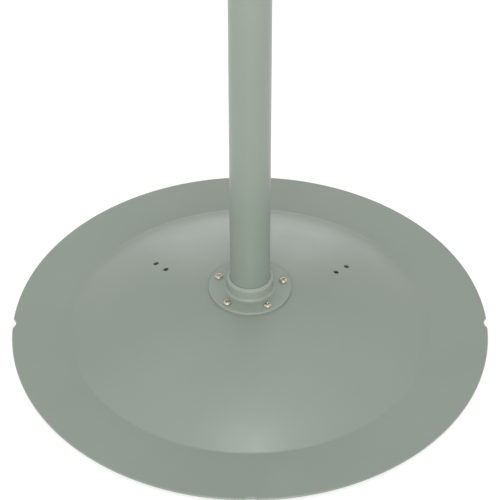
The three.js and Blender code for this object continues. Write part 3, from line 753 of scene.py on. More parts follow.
def thread_profile(radius, pitch, bottom, top):
    """Zigzag of a thread's roots and crests, from its tip up to a plain neck."""
    depth = pitch * 0.5
    turns = int((top - bottom) / pitch)
    zigzag = [(radius - depth, bottom, 0)]
    for turn in range(turns):
        zigzag.append((radius, bottom + pitch * (turn + 0.5), 0))
        zigzag.append((radius - depth, bottom + pitch * (turn + 1), 0))
    return zigzag


def pan_head(head_radius, head_height, shank, length, around=40):
    profile = [
        (0, -length),
        *thread_profile(shank, shank / 3, -length, -length * 0.35),
        (shank * 0.95, -length * 0.33, 0),
        (shank * 0.95, 0, 0.2 * MM),
        (head_radius * 0.97, 0),
        (head_radius, head_height * 0.12),
        (head_radius, head_height * 0.42, 0.9 * MM),
        (head_radius * 0.74, head_height * 0.86, 1.4 * MM),
        (head_radius * 0.4, head_height * 0.99, 1.4 * MM),
        (0, head_height),
    ]
    screw = turned("screw", eased(profile, 0.15 * MM), around)
    recess = cross_recess(head_radius * 0.6, shank * 0.5, head_height * 0.35, head_height)
    return carve(screw, recess)


for number, turn in enumerate(screw_turns, start=1):
    node = f"flange_screw_{number}"
    low, high = low_high(node)
    seat = plate_top + 0.1 * MM
    screw = pan_head(5.1 * MM, high.z - seat, 3 * MM, seat - low.z)
    x, y = around_axis(screw_circle, turn)
    place(screw, spin=turn * 3, at=(x, y, seat))
    deliver(screw, f"pan_head_screw_{number}", node, yellow_zinc)
print("five flange screws")

# %% [markdown]
# ## Under the dome
#
# A ring plate spreads the screws' pull over the thin sheet. Below it each screw has a washer and a nut.
# They show only when the stand lies on its side, but a good part is finished there too. A nut is a
# six-sided slab whose corners are turned off at both ends: the slab and a lens-shaped blank are
# intersected.

# %% Ring plate, washers and nuts
def flat_ring(name, node, inner, around=64):
    """A plain ring that fills its part's box, with eased edges."""
    low, high = low_high(node)
    outer = max(high.x - low.x, high.y - low.y) / 2
    profile = [(inner, low.z), (outer, low.z), (outer, high.z), (inner, high.z)]
    ring = turned(name, eased(profile, 0.3 * MM, 2), around)
    centre = middle(node)
    return place(ring, at=(centre.x, centre.y, 0))


def hex_nut(across_flats, height, bore, around=48):
    """A chamfered hex nut standing on z = 0."""
    corner = across_flats / 2 / math.cos(math.pi / 6)
    outline = hexagon_outline(corner)
    nut = slab("nut", outline, 0, height)
    drop = (corner - across_flats / 2) * 0.6
    rim = across_flats / 2 * 0.97
    blank = [(0, 0), (rim, 0), (corner, drop), (corner, height - drop), (rim, height), (0, height)]
    combine(nut, turned("blank", blank, around), "INTERSECT")
    return carve(nut, bar(bore, -1 * MM, height + 1 * MM, 32))


ring_plate = flat_ring("plate", "backing_plate", 20 * MM, 96)
plate_holes = [upright_bar(screw_clearance, 50 * MM, 80 * MM, screw_circle, turn, 24) for turn in screw_turns]
carve(ring_plate, *plate_holes)
deliver(ring_plate, "ring_plate", "backing_plate", clear_zinc)

for number, turn in enumerate(screw_turns, start=1):
    washer_node, nut_node = f"flange_washer_{number}", f"flange_nut_{number}"
    washer = flat_ring("washer", washer_node, 3.3 * MM, 40)
    deliver(washer, f"washer_{number}", washer_node, clear_zinc)
    low, high = low_high(nut_node)
    x, y = around_axis(screw_circle, turn)
    nut = place(hex_nut(10 * MM, high.z - low.z, 3.2 * MM), spin=turn, at=(x, y, low.z))
    deliver(nut, f"nut_{number}", nut_node, clear_zinc)
print("ring plate, washers and nuts")

# %% [markdown]
# ## The pole
#
# The pole is a welded steel tube. Where its weld was dressed, a faint line runs up the front-left side
# under the paint. A line like that belongs to the shape: the tube's outline is a circle with one very low,
# narrow ridge. It is an extruded outline, so the seam runs the whole length. The cable outlet and the
# collar screw's hole are carved at the back.

# %% Make the pole
pole_low, pole_high = low_high("pole_tube")
pole_wall = 1.6 * MM
seam_angle = 254.5


def tube_outline(radius, seam=None, around=288):
    """Circle, with the low ridge of a weld at an angle if one is given."""
    outline = []
    for i in range(around):
        degrees = 360 * i / around
        r = radius
        if seam is not None:
            away = (degrees - seam + 180) % 360 - 180
            r += 0.15 * MM * math.exp(-((away / 1.4) ** 2))
        outline.append((r * math.cos(math.radians(degrees)), r * math.sin(math.radians(degrees))))
    return outline


def tube(name, radius, wall, bottom, top, seam=None):
    """A hollow tube with slightly rounded ends."""
    skin = tube_outline(radius, seam)
    bore = tube_outline(radius - wall)
    shape = bmesh.new()

    def ring(points, height, inset):
        scale = 1 - inset * wall / radius
        return [shape.verts.new((x * scale, y * scale, height)) for x, y in points]

    outer = [ring(skin, bottom, 0.25), ring(skin, bottom + wall * 0.25, 0)]
    outer += [ring(skin, top - wall * 0.25, 0), ring(skin, top, 0.25)]
    inner = [ring(bore, top, 0), ring(bore, bottom, 0)]
    loop = outer + inner
    count = len(skin)
    for below, above in zip(loop, loop[1:] + loop[:1]):
        for i in range(count):
            j = (i + 1) % count
            shape.faces.new((below[i], below[j], above[j], above[i]))
    bmesh.ops.recalc_face_normals(shape, faces=shape.faces)
    mesh = bpy.data.meshes.new(name)
    shape.to_mesh(mesh)
    shape.free()
    shade(mesh, 30)
    return new_piece(name, mesh)


grommet = middle("cable_grommet")
collar_screw_height = middle("collar_screw").z
pole = tube("pole", pole_radius, pole_wall, pole_low.z, pole_high.z, seam=seam_angle)
outlet = back_bar(7 * MM, 10 * MM, 40 * MM, grommet.z, 40)
carve(pole, outlet, back_bar(2.3 * MM, 10 * MM, 40 * MM, collar_screw_height, 24))
deliver(pole, "lower_pole", "pole_tube", pole_paint)
print("pole", round((pole_high.z - pole_low.z) * 1000), "mm long")

# %% [markdown]
# ## Grommet and set screw
#
# The cable outlet is closed by a rubber grommet until a cable needs it. Its face is a shallow button with a
# ring groove, the line along which a fitter cuts it open. The set screw that locks the pole is headless,
# with a hexagonal socket.

# %% Grommet and set screw
def grommet_button():
    low, high = low_high("cable_grommet")
    radius = (high.x - low.x) / 2
    face = high.y
    profile = [
        (0, 18 * MM),
        (radius, 18 * MM),
        (radius, face - 1.8 * MM),
        (radius * 0.82, face - 0.3 * MM, 1.2 * MM),
        (radius * 0.42, face, 0.6 * MM),
        (radius * 0.38, face - 1.1 * MM),
        (radius * 0.3, face - 1.1 * MM),
        (radius * 0.27, face - 0.5 * MM),
        (0, face - 0.4 * MM),
    ]
    button = place(turned("grommet", eased(profile, 0.2 * MM), 64), lean="y", at=(0, 0, grommet.z))
    wall = turned("wall", [(0, -1), (pole_radius + 0.25 * MM, -1), (pole_radius + 0.25 * MM, 1), (0, 1)], 144)
    return carve(button, place(wall, at=(0, 0, grommet.z)))


deliver(grommet_button(), "rubber_grommet", "cable_grommet", black_rubber)

lock = middle("pole_lock_screw")
lock_low, lock_high = low_high("pole_lock_screw")
lock_thread = thread_profile(2.45 * MM, 0.8 * MM, lock_low.y, lock_high.y)
lock_profile = [(0, lock_low.y), *lock_thread, (0, lock_high.y)]
set_screw = turned("set_screw", eased(lock_profile, 0), 40)
hexagon = hexagon_outline(1.45 * MM)
carve(set_screw, slab("key", hexagon, lock_high.y - 2 * MM, lock_high.y + 1 * MM))
place(set_screw, lean="y", at=(0, 0, lock.z))
deliver(set_screw, "set_screw", "pole_lock_screw", clear_zinc)
print("grommet and set screw")

# %% [markdown]
# ## The height clamp
#
# A moulded collar sits on the pole's end and closes on the mast. It is split at the back between two lugs,
# which a bolt draws together. The bolt ends in an eye, and a lever turns on a pin through that eye. The
# lever's round end is set off the pin's centre, so closing the lever pushes the lugs together. A turned
# body, a bevelled slab for the lugs and carved slots make the collar. The lever is a flat outline, bent
# round the collar, with grooves for the fingers.

# %% Clamp collar
collar_low, collar_high = low_high("clamp_collar")
mast_radius = radius_of("mast_tube")
collar_radius = radius_of("clamp_collar")
pin = middle("lever_pin")
bush_high = low_high("guide_bush")[1]


def collar_body():
    bore = mast_radius + 0.35 * MM
    seat = bush_high.z + 0.1 * MM
    profile = [
        (pole_radius + 0.15 * MM, collar_low.z),
        (collar_radius - 1.2 * MM, collar_low.z, 0.6 * MM),
        (collar_radius, collar_low.z + 3 * MM, 2 * MM),
        (collar_radius, collar_low.z + 22 * MM, 0.3 * MM),
        (collar_radius - 1.0 * MM, collar_low.z + 23 * MM, 0.3 * MM),
        (collar_radius - 1.0 * MM, collar_low.z + 25 * MM, 0.3 * MM),
        (collar_radius, collar_low.z + 26 * MM, 0.3 * MM),
        (collar_radius, collar_high.z - 2.5 * MM, 1.6 * MM),
        (collar_radius - 2.5 * MM, collar_high.z, 1.6 * MM),
        (bore, collar_high.z, 0.8 * MM),
        (bore, seat, 0.1 * MM),
        (pole_radius + 0.15 * MM, seat, 0.1 * MM),
    ]
    return turned("collar", eased(profile), 128)


def collar_lugs():
    """Both lugs as one rounded block, later parted by the split."""
    reach, half_width, bottom, top = collar_high.y, 11.5 * MM, pin.z - 13 * MM, pin.z + 13 * MM
    corner = 12.5 * MM
    nose = arc_points((reach - corner, pin.z), corner + 0.5 * MM, -90, 90, 18)
    side = [(29 * MM, bottom), *nose, (29 * MM, top)]
    lugs = slab("lugs", side, -half_width, half_width, bevel=0.8 * MM)
    for vertex in lugs.data.vertices:
        y, z, x = vertex.co
        vertex.co = (x, min(y, reach), z)
    return lugs


def crosswise_bar(radius, left, right, y, z, around=40):
    """A round bar along X."""
    return place(bar(radius, left, right, around), lean="x", at=(0, y, z))


collar = join(collar_body(), collar_lugs())
bore_room = [(0, -1), (mast_radius + 0.35 * MM, -1), (mast_radius + 0.35 * MM, 2), (0, 2)]
split = box((-1.5 * MM, 10 * MM, pin.z - 17 * MM), (1.5 * MM, 60 * MM, collar_high.z + 1 * MM))
bolt_hole = crosswise_bar(3.4 * MM, -20 * MM, 20 * MM, pin.y, pin.z)
screw_hole = back_bar(2.3 * MM, 20 * MM, 40 * MM, collar_screw_height, 24)
lower_room = bar(pole_radius + 0.15 * MM, collar_low.z - 1 * MM, bush_high.z + 0.1 * MM, 96)
carve(collar, turned("room", bore_room, 128), lower_room, split, bolt_hole, screw_hole)
deliver(collar, "collar", "clamp_collar", charcoal_plastic)
print("collar", round((collar_high.z - collar_low.z) * 1000), "mm tall")

# %% Lever, bolt, nut, washer, pin and collar screw
def lever_shape():
    inner, outer = collar_radius + 2.5 * MM, collar_radius + 9 * MM
    middle_radius = (inner + outer) / 2
    start = math.degrees(math.atan2(pin.y, pin.x)) - 1
    end = -48
    low, high = pin.z - 7 * MM, pin.z + 7 * MM
    tip = around_axis(middle_radius, end)
    outline = arc_points((0, 0), outer, start, end + 3, 30)
    outline += arc_points(tip, outer - middle_radius, end, end - 180, 12)[1:]
    outline += arc_points((0, 0), inner, end + 2, start, 30)
    arm = slab("arm", outline, low, high, bevel=1.3 * MM)
    barrel_profile = [(0, low), (7 * MM, low), (7 * MM, high), (0, high)]
    barrel = turned("barrel", eased(barrel_profile, 1.0 * MM, 4), 64)
    place(barrel, at=(pin.x - 0.6 * MM, pin.y, 0))
    lever = join(arm, barrel)
    eye_room = box(
        (pin.x - 12 * MM, pin.y - 8.5 * MM, pin.z - 3.4 * MM),
        (pin.x + 12 * MM, pin.y + 12 * MM, pin.z + 3.4 * MM),
    )
    lug_room = box((-20 * MM, 20 * MM, low - 2 * MM), (13.9 * MM, 60 * MM, high + 2 * MM))
    pin_hole = place(bar(2.6 * MM, low - 1 * MM, high + 1 * MM, 32), at=(pin.x, pin.y, 0))
    collar_room = bar(collar_radius + 1 * MM, low - 2 * MM, high + 2 * MM, 128)
    grips = []
    for turn in (-12, -20, -28, -36):
        groove = bar(1.1 * MM, low - 2 * MM, high + 2 * MM, 24)
        grips.append(place(groove, at=(*around_axis(outer + 0.35 * MM, turn), 0)))
    return carve(lever, eye_room, lug_room, pin_hole, collar_room, *grips)


def eye_bolt():
    low, high = low_high("clamp_bolt")
    shank_profile = [(0, low.x), *thread_profile(3 * MM, 1 * MM, low.x, low.x + 14 * MM)]
    root = pin.x - 4.2 * MM
    shank_profile += [(2.9 * MM, low.x + 14.4 * MM, 0), (2.9 * MM, root, 0), (0, root)]
    shank = place(turned("shank", eased(shank_profile, 0), 40), lean="x", at=(0, pin.y, pin.z))
    side = arc_points((pin.x, pin.y), 4.9 * MM, -90, 90, 16)
    side += [(pin.x - 6 * MM, pin.y + 4.9 * MM), (pin.x - 6 * MM, pin.y - 4.9 * MM)]
    eye = slab("eye", side, pin.z - 3 * MM, pin.z + 3 * MM, bevel=0.5 * MM)
    pin_hole = place(bar(2.7 * MM, pin.z - 8 * MM, pin.z + 8 * MM, 32), at=(pin.x, pin.y, 0))
    return carve(join(shank, eye), pin_hole)


def flanged_nut():
    low, high = low_high("clamp_nut")
    nut = hex_nut(10 * MM, 4.5 * MM, 3.2 * MM)
    skirt = [(3.2 * MM, 4 * MM), (6.5 * MM, 4 * MM), (6.5 * MM, 5.4 * MM), (3.2 * MM, 5.4 * MM)]
    join(nut, turned("skirt", eased(skirt, 0.4 * MM), 48))
    return place(nut, lean="x", at=(low.x, pin.y, pin.z))


def crosswise_ring(node, inner, around=48):
    """A ring along X that fills its part's box."""
    low, high = low_high(node)
    outer = (high.z - low.z) / 2
    profile = [(inner, low.x), (outer, low.x), (outer, high.x), (inner, high.x)]
    centre = middle(node)
    return place(turned("ring", eased(profile, 0.3 * MM, 2), around), lean="x", at=(0, centre.y, centre.z))


deliver(lever_shape(), "lever", "clamp_lever", charcoal_plastic)
deliver(eye_bolt(), "eye_bolt", "clamp_bolt", clear_zinc)
deliver(flanged_nut(), "flanged_nut", "clamp_nut", clear_zinc)
lever_washer = crosswise_ring("cam_washer", 3.3 * MM)
deliver(lever_washer, "lever_washer", "cam_washer", charcoal_plastic)

pin_low, pin_high = low_high("lever_pin")
pin_profile = [(0, pin_low.z), (2.5 * MM, pin_low.z), (2.5 * MM, pin_high.z), (0, pin_high.z)]
pin_piece = place(turned("pin", eased(pin_profile, 0.5 * MM), 40), at=(pin.x, pin.y, 0))
deliver(pin_piece, "lever_pivot", "lever_pin", clear_zinc)

collar_screw = pan_head(3.8 * MM, 2.2 * MM, 2 * MM, 9 * MM)
place(collar_screw, lean="y", at=(0, collar_radius + 0.1 * MM, collar_screw_height))
deliver(collar_screw, "collar_fixing_screw", "collar_screw", clear_zinc)


def bush_piece(node, name, inner):
    """The nylon sleeve between pole and mast, with its lip on the pole's end."""
    low, high = low_high(node)
    lip, sleeve = (high.x - low.x) / 2, pole_radius - pole_wall - 0.15 * MM
    seat = pole_high.z + 0.1 * MM
    profile = [(inner, low.z), (sleeve, low.z), (sleeve, seat), (lip, seat), (lip, high.z), (inner, high.z)]
    return turned(name, eased(profile, 0.3 * MM), 96)


bush = bush_piece("guide_bush", "bush", mast_radius + 0.2 * MM)
deliver(bush, "guide_sleeve", "guide_bush", nylon_white)
print("lever, bolt, nut, washer, pin, screw and sleeve")

# %% [markdown]
# ## The mast
#
# The mast is the narrower tube that slides in the pole. A nylon glide in its foot centres it, and a moulded
# cap on its top carries the swivel. The cap has a fixed lug. Together with a lug on the yoke it stops the
# head before the cable inside could twist.

# %% Mast tube, glide and cap
mast_low, mast_high = low_high("mast_tube")
mast = tube("mast", mast_radius, 1.5 * MM, mast_low.z, mast_high.z, seam=seam_angle)
deliver(mast, "upper_mast", "mast_tube", pole_paint)


def glide_shape():
    low, high = low_high("mast_glide")
    wide, narrow, inner = radius_of("mast_glide"), mast_radius - 1.65 * MM, 13 * MM
    seat = mast_low.z - 0.1 * MM
    profile = [(inner, low.z), (wide - 1.5 * MM, low.z), (wide, low.z + 2 * MM)]
    for groove in (5, 9, 13):
        profile += [(wide, low.z + groove * MM), (wide - 0.6 * MM, low.z + (groove + 0.6) * MM)]
        profile += [(wide - 0.6 * MM, low.z + (groove + 1.4) * MM), (wide, low.z + (groove + 2) * MM)]
    profile += [(wide, seat), (narrow, seat), (narrow, high.z), (inner, high.z)]
    return turned("glide", eased(profile, 0.25 * MM, 2), 96)


deliver(glide_shape(), "glide", "mast_glide", nylon_white)

cap_low, cap_high = low_high("mast_cap")
washer_low, washer_high = low_high("swivel_washer")
cap_top = washer_low.z - 0.1 * MM
swivel_bore = 12.3 * MM
lug_reach, lug_half = 27 * MM, 3.2 * MM


def cap_shape():
    outer = 23 * MM
    skirt = mast_radius + 0.15 * MM
    plate = mast_high.z + 0.1 * MM
    profile = [
        (skirt, cap_low.z),
        (outer - 0.8 * MM, cap_low.z, 0.4 * MM),
        (outer, cap_low.z + 1.5 * MM, 0.6 * MM),
        (outer, plate - 2 * MM, 0.2 * MM),
        (outer - 0.7 * MM, plate - 1.5 * MM, 0.2 * MM),
        (outer - 0.7 * MM, plate, 0.2 * MM),
        (outer, plate + 0.5 * MM, 0.2 * MM),
        (outer, cap_top, 1 * MM),
        (swivel_bore, cap_top, 0.3 * MM),
        (swivel_bore, plate, 0.2 * MM),
        (skirt, plate, 0.2 * MM),
    ]
    cap = turned("cap", eased(profile), 128)
    outline = [(-lug_half, 21 * MM), (lug_half, 21 * MM), (lug_half, lug_reach), (-lug_half, lug_reach)]
    lug = slab("lug", outline, mast_high.z - 6 * MM, cap_high.z, bevel=0.7 * MM)
    carve(lug, bar(outer + 0.6 * MM, cap_top, cap_high.z + 1 * MM, 96), bar(outer - 1 * MM, 0, 2, 96))
    return join(cap, lug)


deliver(cap_shape(), "cap", "mast_cap", charcoal_plastic)
print("mast", round((mast_high.z - mast_low.z) * 1000), "mm long")

# %% [markdown]
# ## Swivel and tilt yoke
#
# The yoke turns in the cap on a hollow spindle, over a nylon washer, and a split ring holds it down. Its
# two arms carry the tilt axis. Each arm is an outline with a round top, and its foot runs into the hub. The
# bevel on every arm edge stands for the thick paint that rounds a laser-cut plate.

# %% Yoke
yoke_low, yoke_high = low_high("tilt_yoke")
tilt = middle("tilt_knob")
tilt_z = tilt.z
yoke_bottom = washer_high.z + 0.1 * MM
plate_high = yoke_bottom + 10 * MM
arm_inner, arm_outer, arm_radius = 23 * MM, yoke_high.x, 13 * MM
groove_low, groove_high = mast_high.z - 2.2 * MM, mast_high.z - 0.3 * MM


def yoke_hub():
    bore, journal, groove = 8.5 * MM, swivel_bore - 0.3 * MM, 11 * MM
    profile = [
        (bore, yoke_low.z, 0.3 * MM),
        (journal - 1 * MM, yoke_low.z, 0.2 * MM),
        (journal, yoke_low.z + 1 * MM, 0.2 * MM),
        (journal, groove_low, 0),
        (groove, groove_low, 0),
        (groove, groove_high, 0),
        (journal, groove_high, 0),
        (journal, yoke_bottom, 0),
        (23 * MM, yoke_bottom, 0.8 * MM),
        (23 * MM, plate_high - 1.5 * MM, 0.8 * MM),
        (21.5 * MM, plate_high, 0.8 * MM),
        (bore, plate_high, 0.6 * MM),
    ]
    return turned("hub", eased(profile), 112)


def yoke_arm(side):
    foot = yoke_bottom + 4.5 * MM
    outline = [(-arm_radius, foot), (arm_radius, foot), *arc_points((0, tilt_z), arm_radius, 0, 180, 32)]
    near, far = sorted((side * arm_inner, side * arm_outer))
    arm = slab("arm", outline, near, far, bevel=0.9 * MM)
    for vertex in arm.data.vertices:
        y, z, x = vertex.co
        vertex.co = (x, y, z)
    return arm


def yoke_shape():
    foot_outline = rectangle(-arm_outer, -arm_radius, arm_outer, arm_radius)
    foot = slab("foot", foot_outline, yoke_bottom + 4.5 * MM, plate_high - 1 * MM, bevel=0.9 * MM)
    lug_outline = rectangle(-lug_half, -lug_reach, lug_half, -20 * MM)
    lug = slab("lug", lug_outline, yoke_bottom, yoke_bottom + 4 * MM, bevel=0.7 * MM)
    yoke = join(yoke_hub(), foot, lug, yoke_arm(-1), yoke_arm(1))
    return carve(
        yoke,
        bar(8.5 * MM, yoke_bottom - 2 * MM, plate_high + 2 * MM, 112),
        crosswise_bar(4.4 * MM, -arm_outer - 1 * MM, arm_outer + 1 * MM, 0, tilt_z, 48),
    )


deliver(yoke_shape(), "yoke", "tilt_yoke", pole_paint)
swivel_disc = flat_ring("disc", "swivel_washer", swivel_bore + 0.2 * MM, 96)
deliver(swivel_disc, "swivel_disc", "swivel_washer", nylon_white)
spring_ring = flat_ring("ring", "retaining_ring", 11.2 * MM, 64)
carve(spring_ring, box((-3 * MM, 5 * MM, groove_low - 1 * MM), (3 * MM, 20 * MM, groove_high + 1 * MM)))
deliver(spring_ring, "split_ring", "retaining_ring", clear_zinc)
print("yoke", round((yoke_high.z - yoke_low.z) * 1000), "mm tall")

# %% [markdown]
# ## Tilt bolt and knob
#
# One bolt runs through both arms and the head's knuckle. A round head closes its left end, and a six-lobed
# knob on the right squeezes arms, friction washers and knuckle together. The knob is turned first, then six
# flutes are carved from it. A shallow dish in its face gives the thumb a place.

# %% Bolt, washers and knob
def tilt_bolt_shape():
    low, high = low_high("tilt_bolt")
    face = -arm_outer - 0.1 * MM
    profile = [
        (0, low.x),
        (3 * MM, low.x + 0.2 * MM, 1 * MM),
        (6.5 * MM, low.x + 1.2 * MM, 2 * MM),
        (9 * MM, face - 1.0 * MM, 0.5 * MM),
        (9 * MM, face, 0.2 * MM),
        (4 * MM, face, 0),
        (4 * MM, arm_outer - 2 * MM, 0),
        *thread_profile(4 * MM, 1.25 * MM, arm_outer - 1.5 * MM, high.x),
        (0, high.x),
    ]
    return place(turned("bolt", eased(profile, 0.2 * MM), 64), lean="x", at=(0, 0, tilt_z))


def knob_shape():
    low, high = low_high("tilt_knob")
    face, back = high.x, low.x
    profile = [
        (4.3 * MM, back),
        (9 * MM, back, 0.4 * MM),
        (14 * MM, back + 3 * MM, 1 * MM),
        (15 * MM, back + 5 * MM, 1 * MM),
        (15 * MM, face - 4 * MM, 1.5 * MM),
        (12.5 * MM, face - 0.6 * MM, 1.5 * MM),
        (8.5 * MM, face, 0.8 * MM),
        (7 * MM, face - 0.9 * MM, 0.8 * MM),
        (0, face - 1.1 * MM),
        (0, back + 13 * MM),
        (4.3 * MM, back + 13 * MM),
    ]
    knob = turned("knob", eased(profile), 96)
    flutes = [upright_bar(5 * MM, back + 1 * MM, face + 1 * MM, 18 * MM, 60 * i, 48) for i in range(6)]
    return place(carve(knob, *flutes), lean="x", at=(0, 0, tilt_z))


deliver(tilt_bolt_shape(), "round_head_bolt", "tilt_bolt", clear_zinc)
deliver(knob_shape(), "knob", "tilt_knob", charcoal_plastic)
deliver(crosswise_ring("knob_washer", 4.3 * MM), "washer_under_knob", "knob_washer", clear_zinc)
for side in ("left", "right"):
    node = f"friction_washer_{side}"
    deliver(crosswise_ring(node, 4.4 * MM), f"friction_disc_{side}", node, nylon_white)
print("tilt hardware")

# %% [markdown]
# ## The display head's casing
#
# Two thin mouldings meet at a fine parting line round the head. The front one frames the window; its inner
# edge slopes towards the glass. The rear one holds the knuckle, the cooling slots and the sockets. Each is
# a rounded slab, hollowed by a smaller slab. The outline lies in X and Z, so the slab is made flat and then
# stood up.

# %% Front and rear casing
bezel_low, bezel_high = low_high("front_bezel")
cover_low = low_high("rear_cover")[0]
head_width, head_height = bezel_high.x - bezel_low.x, bezel_high.z - bezel_low.z
head_corner, wall = 14 * MM, 2.6 * MM
head_back = -16 * MM
screw_x, screw_z = head_width / 2 - 12 * MM, head_height / 2 - 12 * MM
corners = [(x * screw_x, z * screw_z) for x in (-1, 1) for z in (-1, 1)]


def stood_up(piece):
    """Turns a slab made in X and Y so that its outline is upright and its thickness runs along Y."""
    for vertex in piece.data.vertices:
        x, z, y = vertex.co
        vertex.co = (x, y, tilt_z + z)
    bmesh_flip(piece.data)
    return piece


def bmesh_flip(mesh):
    """Points a mesh's faces outwards again after a mirror."""
    shape = bmesh.new()
    shape.from_mesh(mesh)
    bmesh.ops.recalc_face_normals(shape, faces=shape.faces)
    shape.to_mesh(mesh)
    shape.free()


def panel(width, height, corner, front, back, bevel=0.0, at=(0, 0), segments=3):
    """An upright rounded panel between two Y values, centred on the tilt axis unless moved."""
    outline = [(x + at[0], z + at[1]) for x, z in rounded_box(width, height, corner)]
    return stood_up(slab("panel", outline, front, back, bevel, segments))


def head_bar(radius, front, back, x, z, around=32):
    """A round bar along Y at a place on the head."""
    return place(bar(radius, front, back, around), lean="y", at=(x, 0, tilt_z + z))


def sloped_frame(width, height, corner, front, back, slope):
    """A cutter whose front is wider than its back, for the window's sloping edge."""
    rear = rounded_box(width, height, corner)
    fore = rounded_box(width + 2 * slope, height + 2 * slope, corner + slope)
    shape = bmesh.new()
    lower = [shape.verts.new((x, front, tilt_z + z)) for x, z in fore]
    upper = [shape.verts.new((x, back, tilt_z + z)) for x, z in rear]
    shape.faces.new(lower)
    shape.faces.new(upper[::-1])
    for i in range(len(fore)):
        j = (i + 1) % len(fore)
        shape.faces.new((lower[j], lower[i], upper[i], upper[j]))
    bmesh.ops.recalc_face_normals(shape, faces=shape.faces)
    mesh = bpy.data.meshes.new("slope")
    shape.to_mesh(mesh)
    shape.free()
    return new_piece("slope", mesh)


def hollow(front, back, bevel=0):
    """The room inside the casing's walls, from one depth to another."""
    return panel(head_width - 2 * wall, head_height - 2 * wall, head_corner - wall, front, back, bevel)


def bezel_shape():
    front, back = bezel_low.y, bezel_high.y
    shell = panel(head_width, head_height, head_corner, front, back + 6 * MM, bevel=2.2 * MM, segments=5)
    behind = panel(head_width + 20 * MM, head_height + 20 * MM, 5 * MM, back, back + 20 * MM)
    room = hollow(front + 3 * MM, back + 8 * MM)
    slope = sloped_frame(196 * MM, 56 * MM, 4 * MM, front - 1 * MM, front + 4 * MM, 1.6 * MM)
    carve(shell, behind, room, slope)
    pillars = [head_bar(4 * MM, front + 2.5 * MM, back, x, z, 24) for x, z in corners]
    screw_holes = [head_bar(1.7 * MM, front + 5 * MM, back + 1 * MM, x, z, 24) for x, z in corners]
    return carve(join(shell, *pillars), *screw_holes)


def knuckle_shape():
    """The rear cover's tilt knuckle: a round barrel on a web."""
    half, radius = 20 * MM, 11 * MM
    foot = head_back - 1 * MM
    outline = [*arc_points((0, 0), radius, -90, 90, 24), (foot, radius), (foot, -radius)]
    knuckle = slab("knuckle", outline, -half, half, bevel=1.0 * MM)
    for vertex in knuckle.data.vertices:
        y, z, x = vertex.co
        vertex.co = (x, y, tilt_z + z)
    return knuckle


button = middle("power_button")
block_low, block_high = low_high("connector_block")
port_x, port_z = (block_low.x + block_high.x) / 2, (block_low.z + block_high.z) / 2 - tilt_z


def cover_shape():
    split = cover_low.y
    shell = panel(head_width, head_height, head_corner, split - 8 * MM, head_back, bevel=3.2 * MM, segments=6)
    before = panel(head_width + 20 * MM, head_height + 20 * MM, 5 * MM, split - 20 * MM, split)
    room = hollow(split - 9 * MM, head_back - wall, 0.8 * MM)
    carve(shell, before, room)
    pillars = [head_bar(5 * MM, split, head_back - 1 * MM, x, z, 32) for x, z in corners]
    join(shell, *pillars, knuckle_shape())
    cutters = []
    for x, z in corners:
        cutters.append(head_bar(3.4 * MM, split + 8 * MM, head_back + 1 * MM, x, z, 32))
        cutters.append(head_bar(1.9 * MM, split - 1 * MM, head_back, x, z, 24))
    for side in (-52, 52):
        for row in range(5):
            slot_at = (side * MM, (-4 + 6 * row) * MM)
            slot = panel(30 * MM, 2.4 * MM, 1.1 * MM, head_back - 5 * MM, head_back + 1 * MM, at=slot_at)
            cutters.append(slot)
    cutters.append(crosswise_bar(4.3 * MM, -30 * MM, 30 * MM, 0, tilt_z, 40))
    cutters.append(box((-6 * MM, head_back - 4 * MM, tilt_z - 12 * MM), (6 * MM, -10 * MM, tilt_z + 4 * MM)))
    deep, proud = head_back - 6 * MM, head_back + 1 * MM
    cutters.append(head_bar(4.8 * MM, deep, proud, button.x, button.z - tilt_z, 40))
    cutters.append(panel(44 * MM, 18 * MM, 2 * MM, deep, proud, at=(port_x, port_z)))
    return carve(shell, *cutters)


deliver(bezel_shape(), "casing_front", "front_bezel", casing_plastic)
deliver(cover_shape(), "casing_rear", "rear_cover", casing_plastic)
print("casing", round(head_width * 1000), "by", round(head_height * 1000), "mm")

# %% [markdown]
# ## Window and display module
#
# The window is smoked acrylic: clear enough to read lit characters through, dark enough to hide the module
# when it is off. Behind it stands the module: a flat glass envelope with two rows of twenty character
# cells, and each cell is five dots wide and seven high. The dots are unlit phosphor, so they are pale
# grey-green squares of real geometry on a dark carrier. The acrylic takes a transmissive shader with a dark
# tint.

# %% Window, module and board
smoked = Finish("smoked_acrylic", Transmission_Weight=1.0, IOR=1.49)
dust = smoked.noise(60, detail=4)
smoked.feed("Base Color", smoked.blend(dust, (0.34, 0.36, 0.36), (0.40, 0.42, 0.42)))
smoked.feed("Roughness", smoked.remap(dust, 0.4, 0.8, 0.0, 0.06))
wipes = smoked.noise(35, detail=2, stretch=(0.2, 1, 1))
smoked.bumps((wipes, 0.000004))

carrier = Finish("display_carrier", Roughness=0.18, Coat_Weight=0.6, Coat_Roughness=0.05)
haze = carrier.noise(90, detail=3)
carrier.feed("Base Color", carrier.blend(haze, (0.006, 0.008, 0.008), (0.010, 0.013, 0.013)))
carrier.bumps((haze, 0.00001))

phosphor = Finish("phosphor", Roughness=0.6)
grains = phosphor.noise(5000, detail=2)
phosphor.feed("Base Color", phosphor.blend(grains, (0.34, 0.42, 0.39), (0.42, 0.50, 0.46)))
phosphor.bumps((grains, 0.00002))

solder_mask = Finish("solder_mask", Roughness=0.38, Coat_Weight=0.3)
weave = solder_mask.cells(900)
solder_mask.feed("Base Color", solder_mask.blend(weave, (0.015, 0.11, 0.055), (0.02, 0.15, 0.075)))
solder_mask.bumps((weave, 0.00002))


def panel_like(node, corner, bevel):
    """An upright panel that fills its part's box, with rounded edges."""
    low, high = low_high(node)
    centre = ((low.x + high.x) / 2, (low.z + high.z) / 2 - tilt_z)
    return panel(high.x - low.x, high.z - low.z, corner, low.y, high.y, bevel, centre)


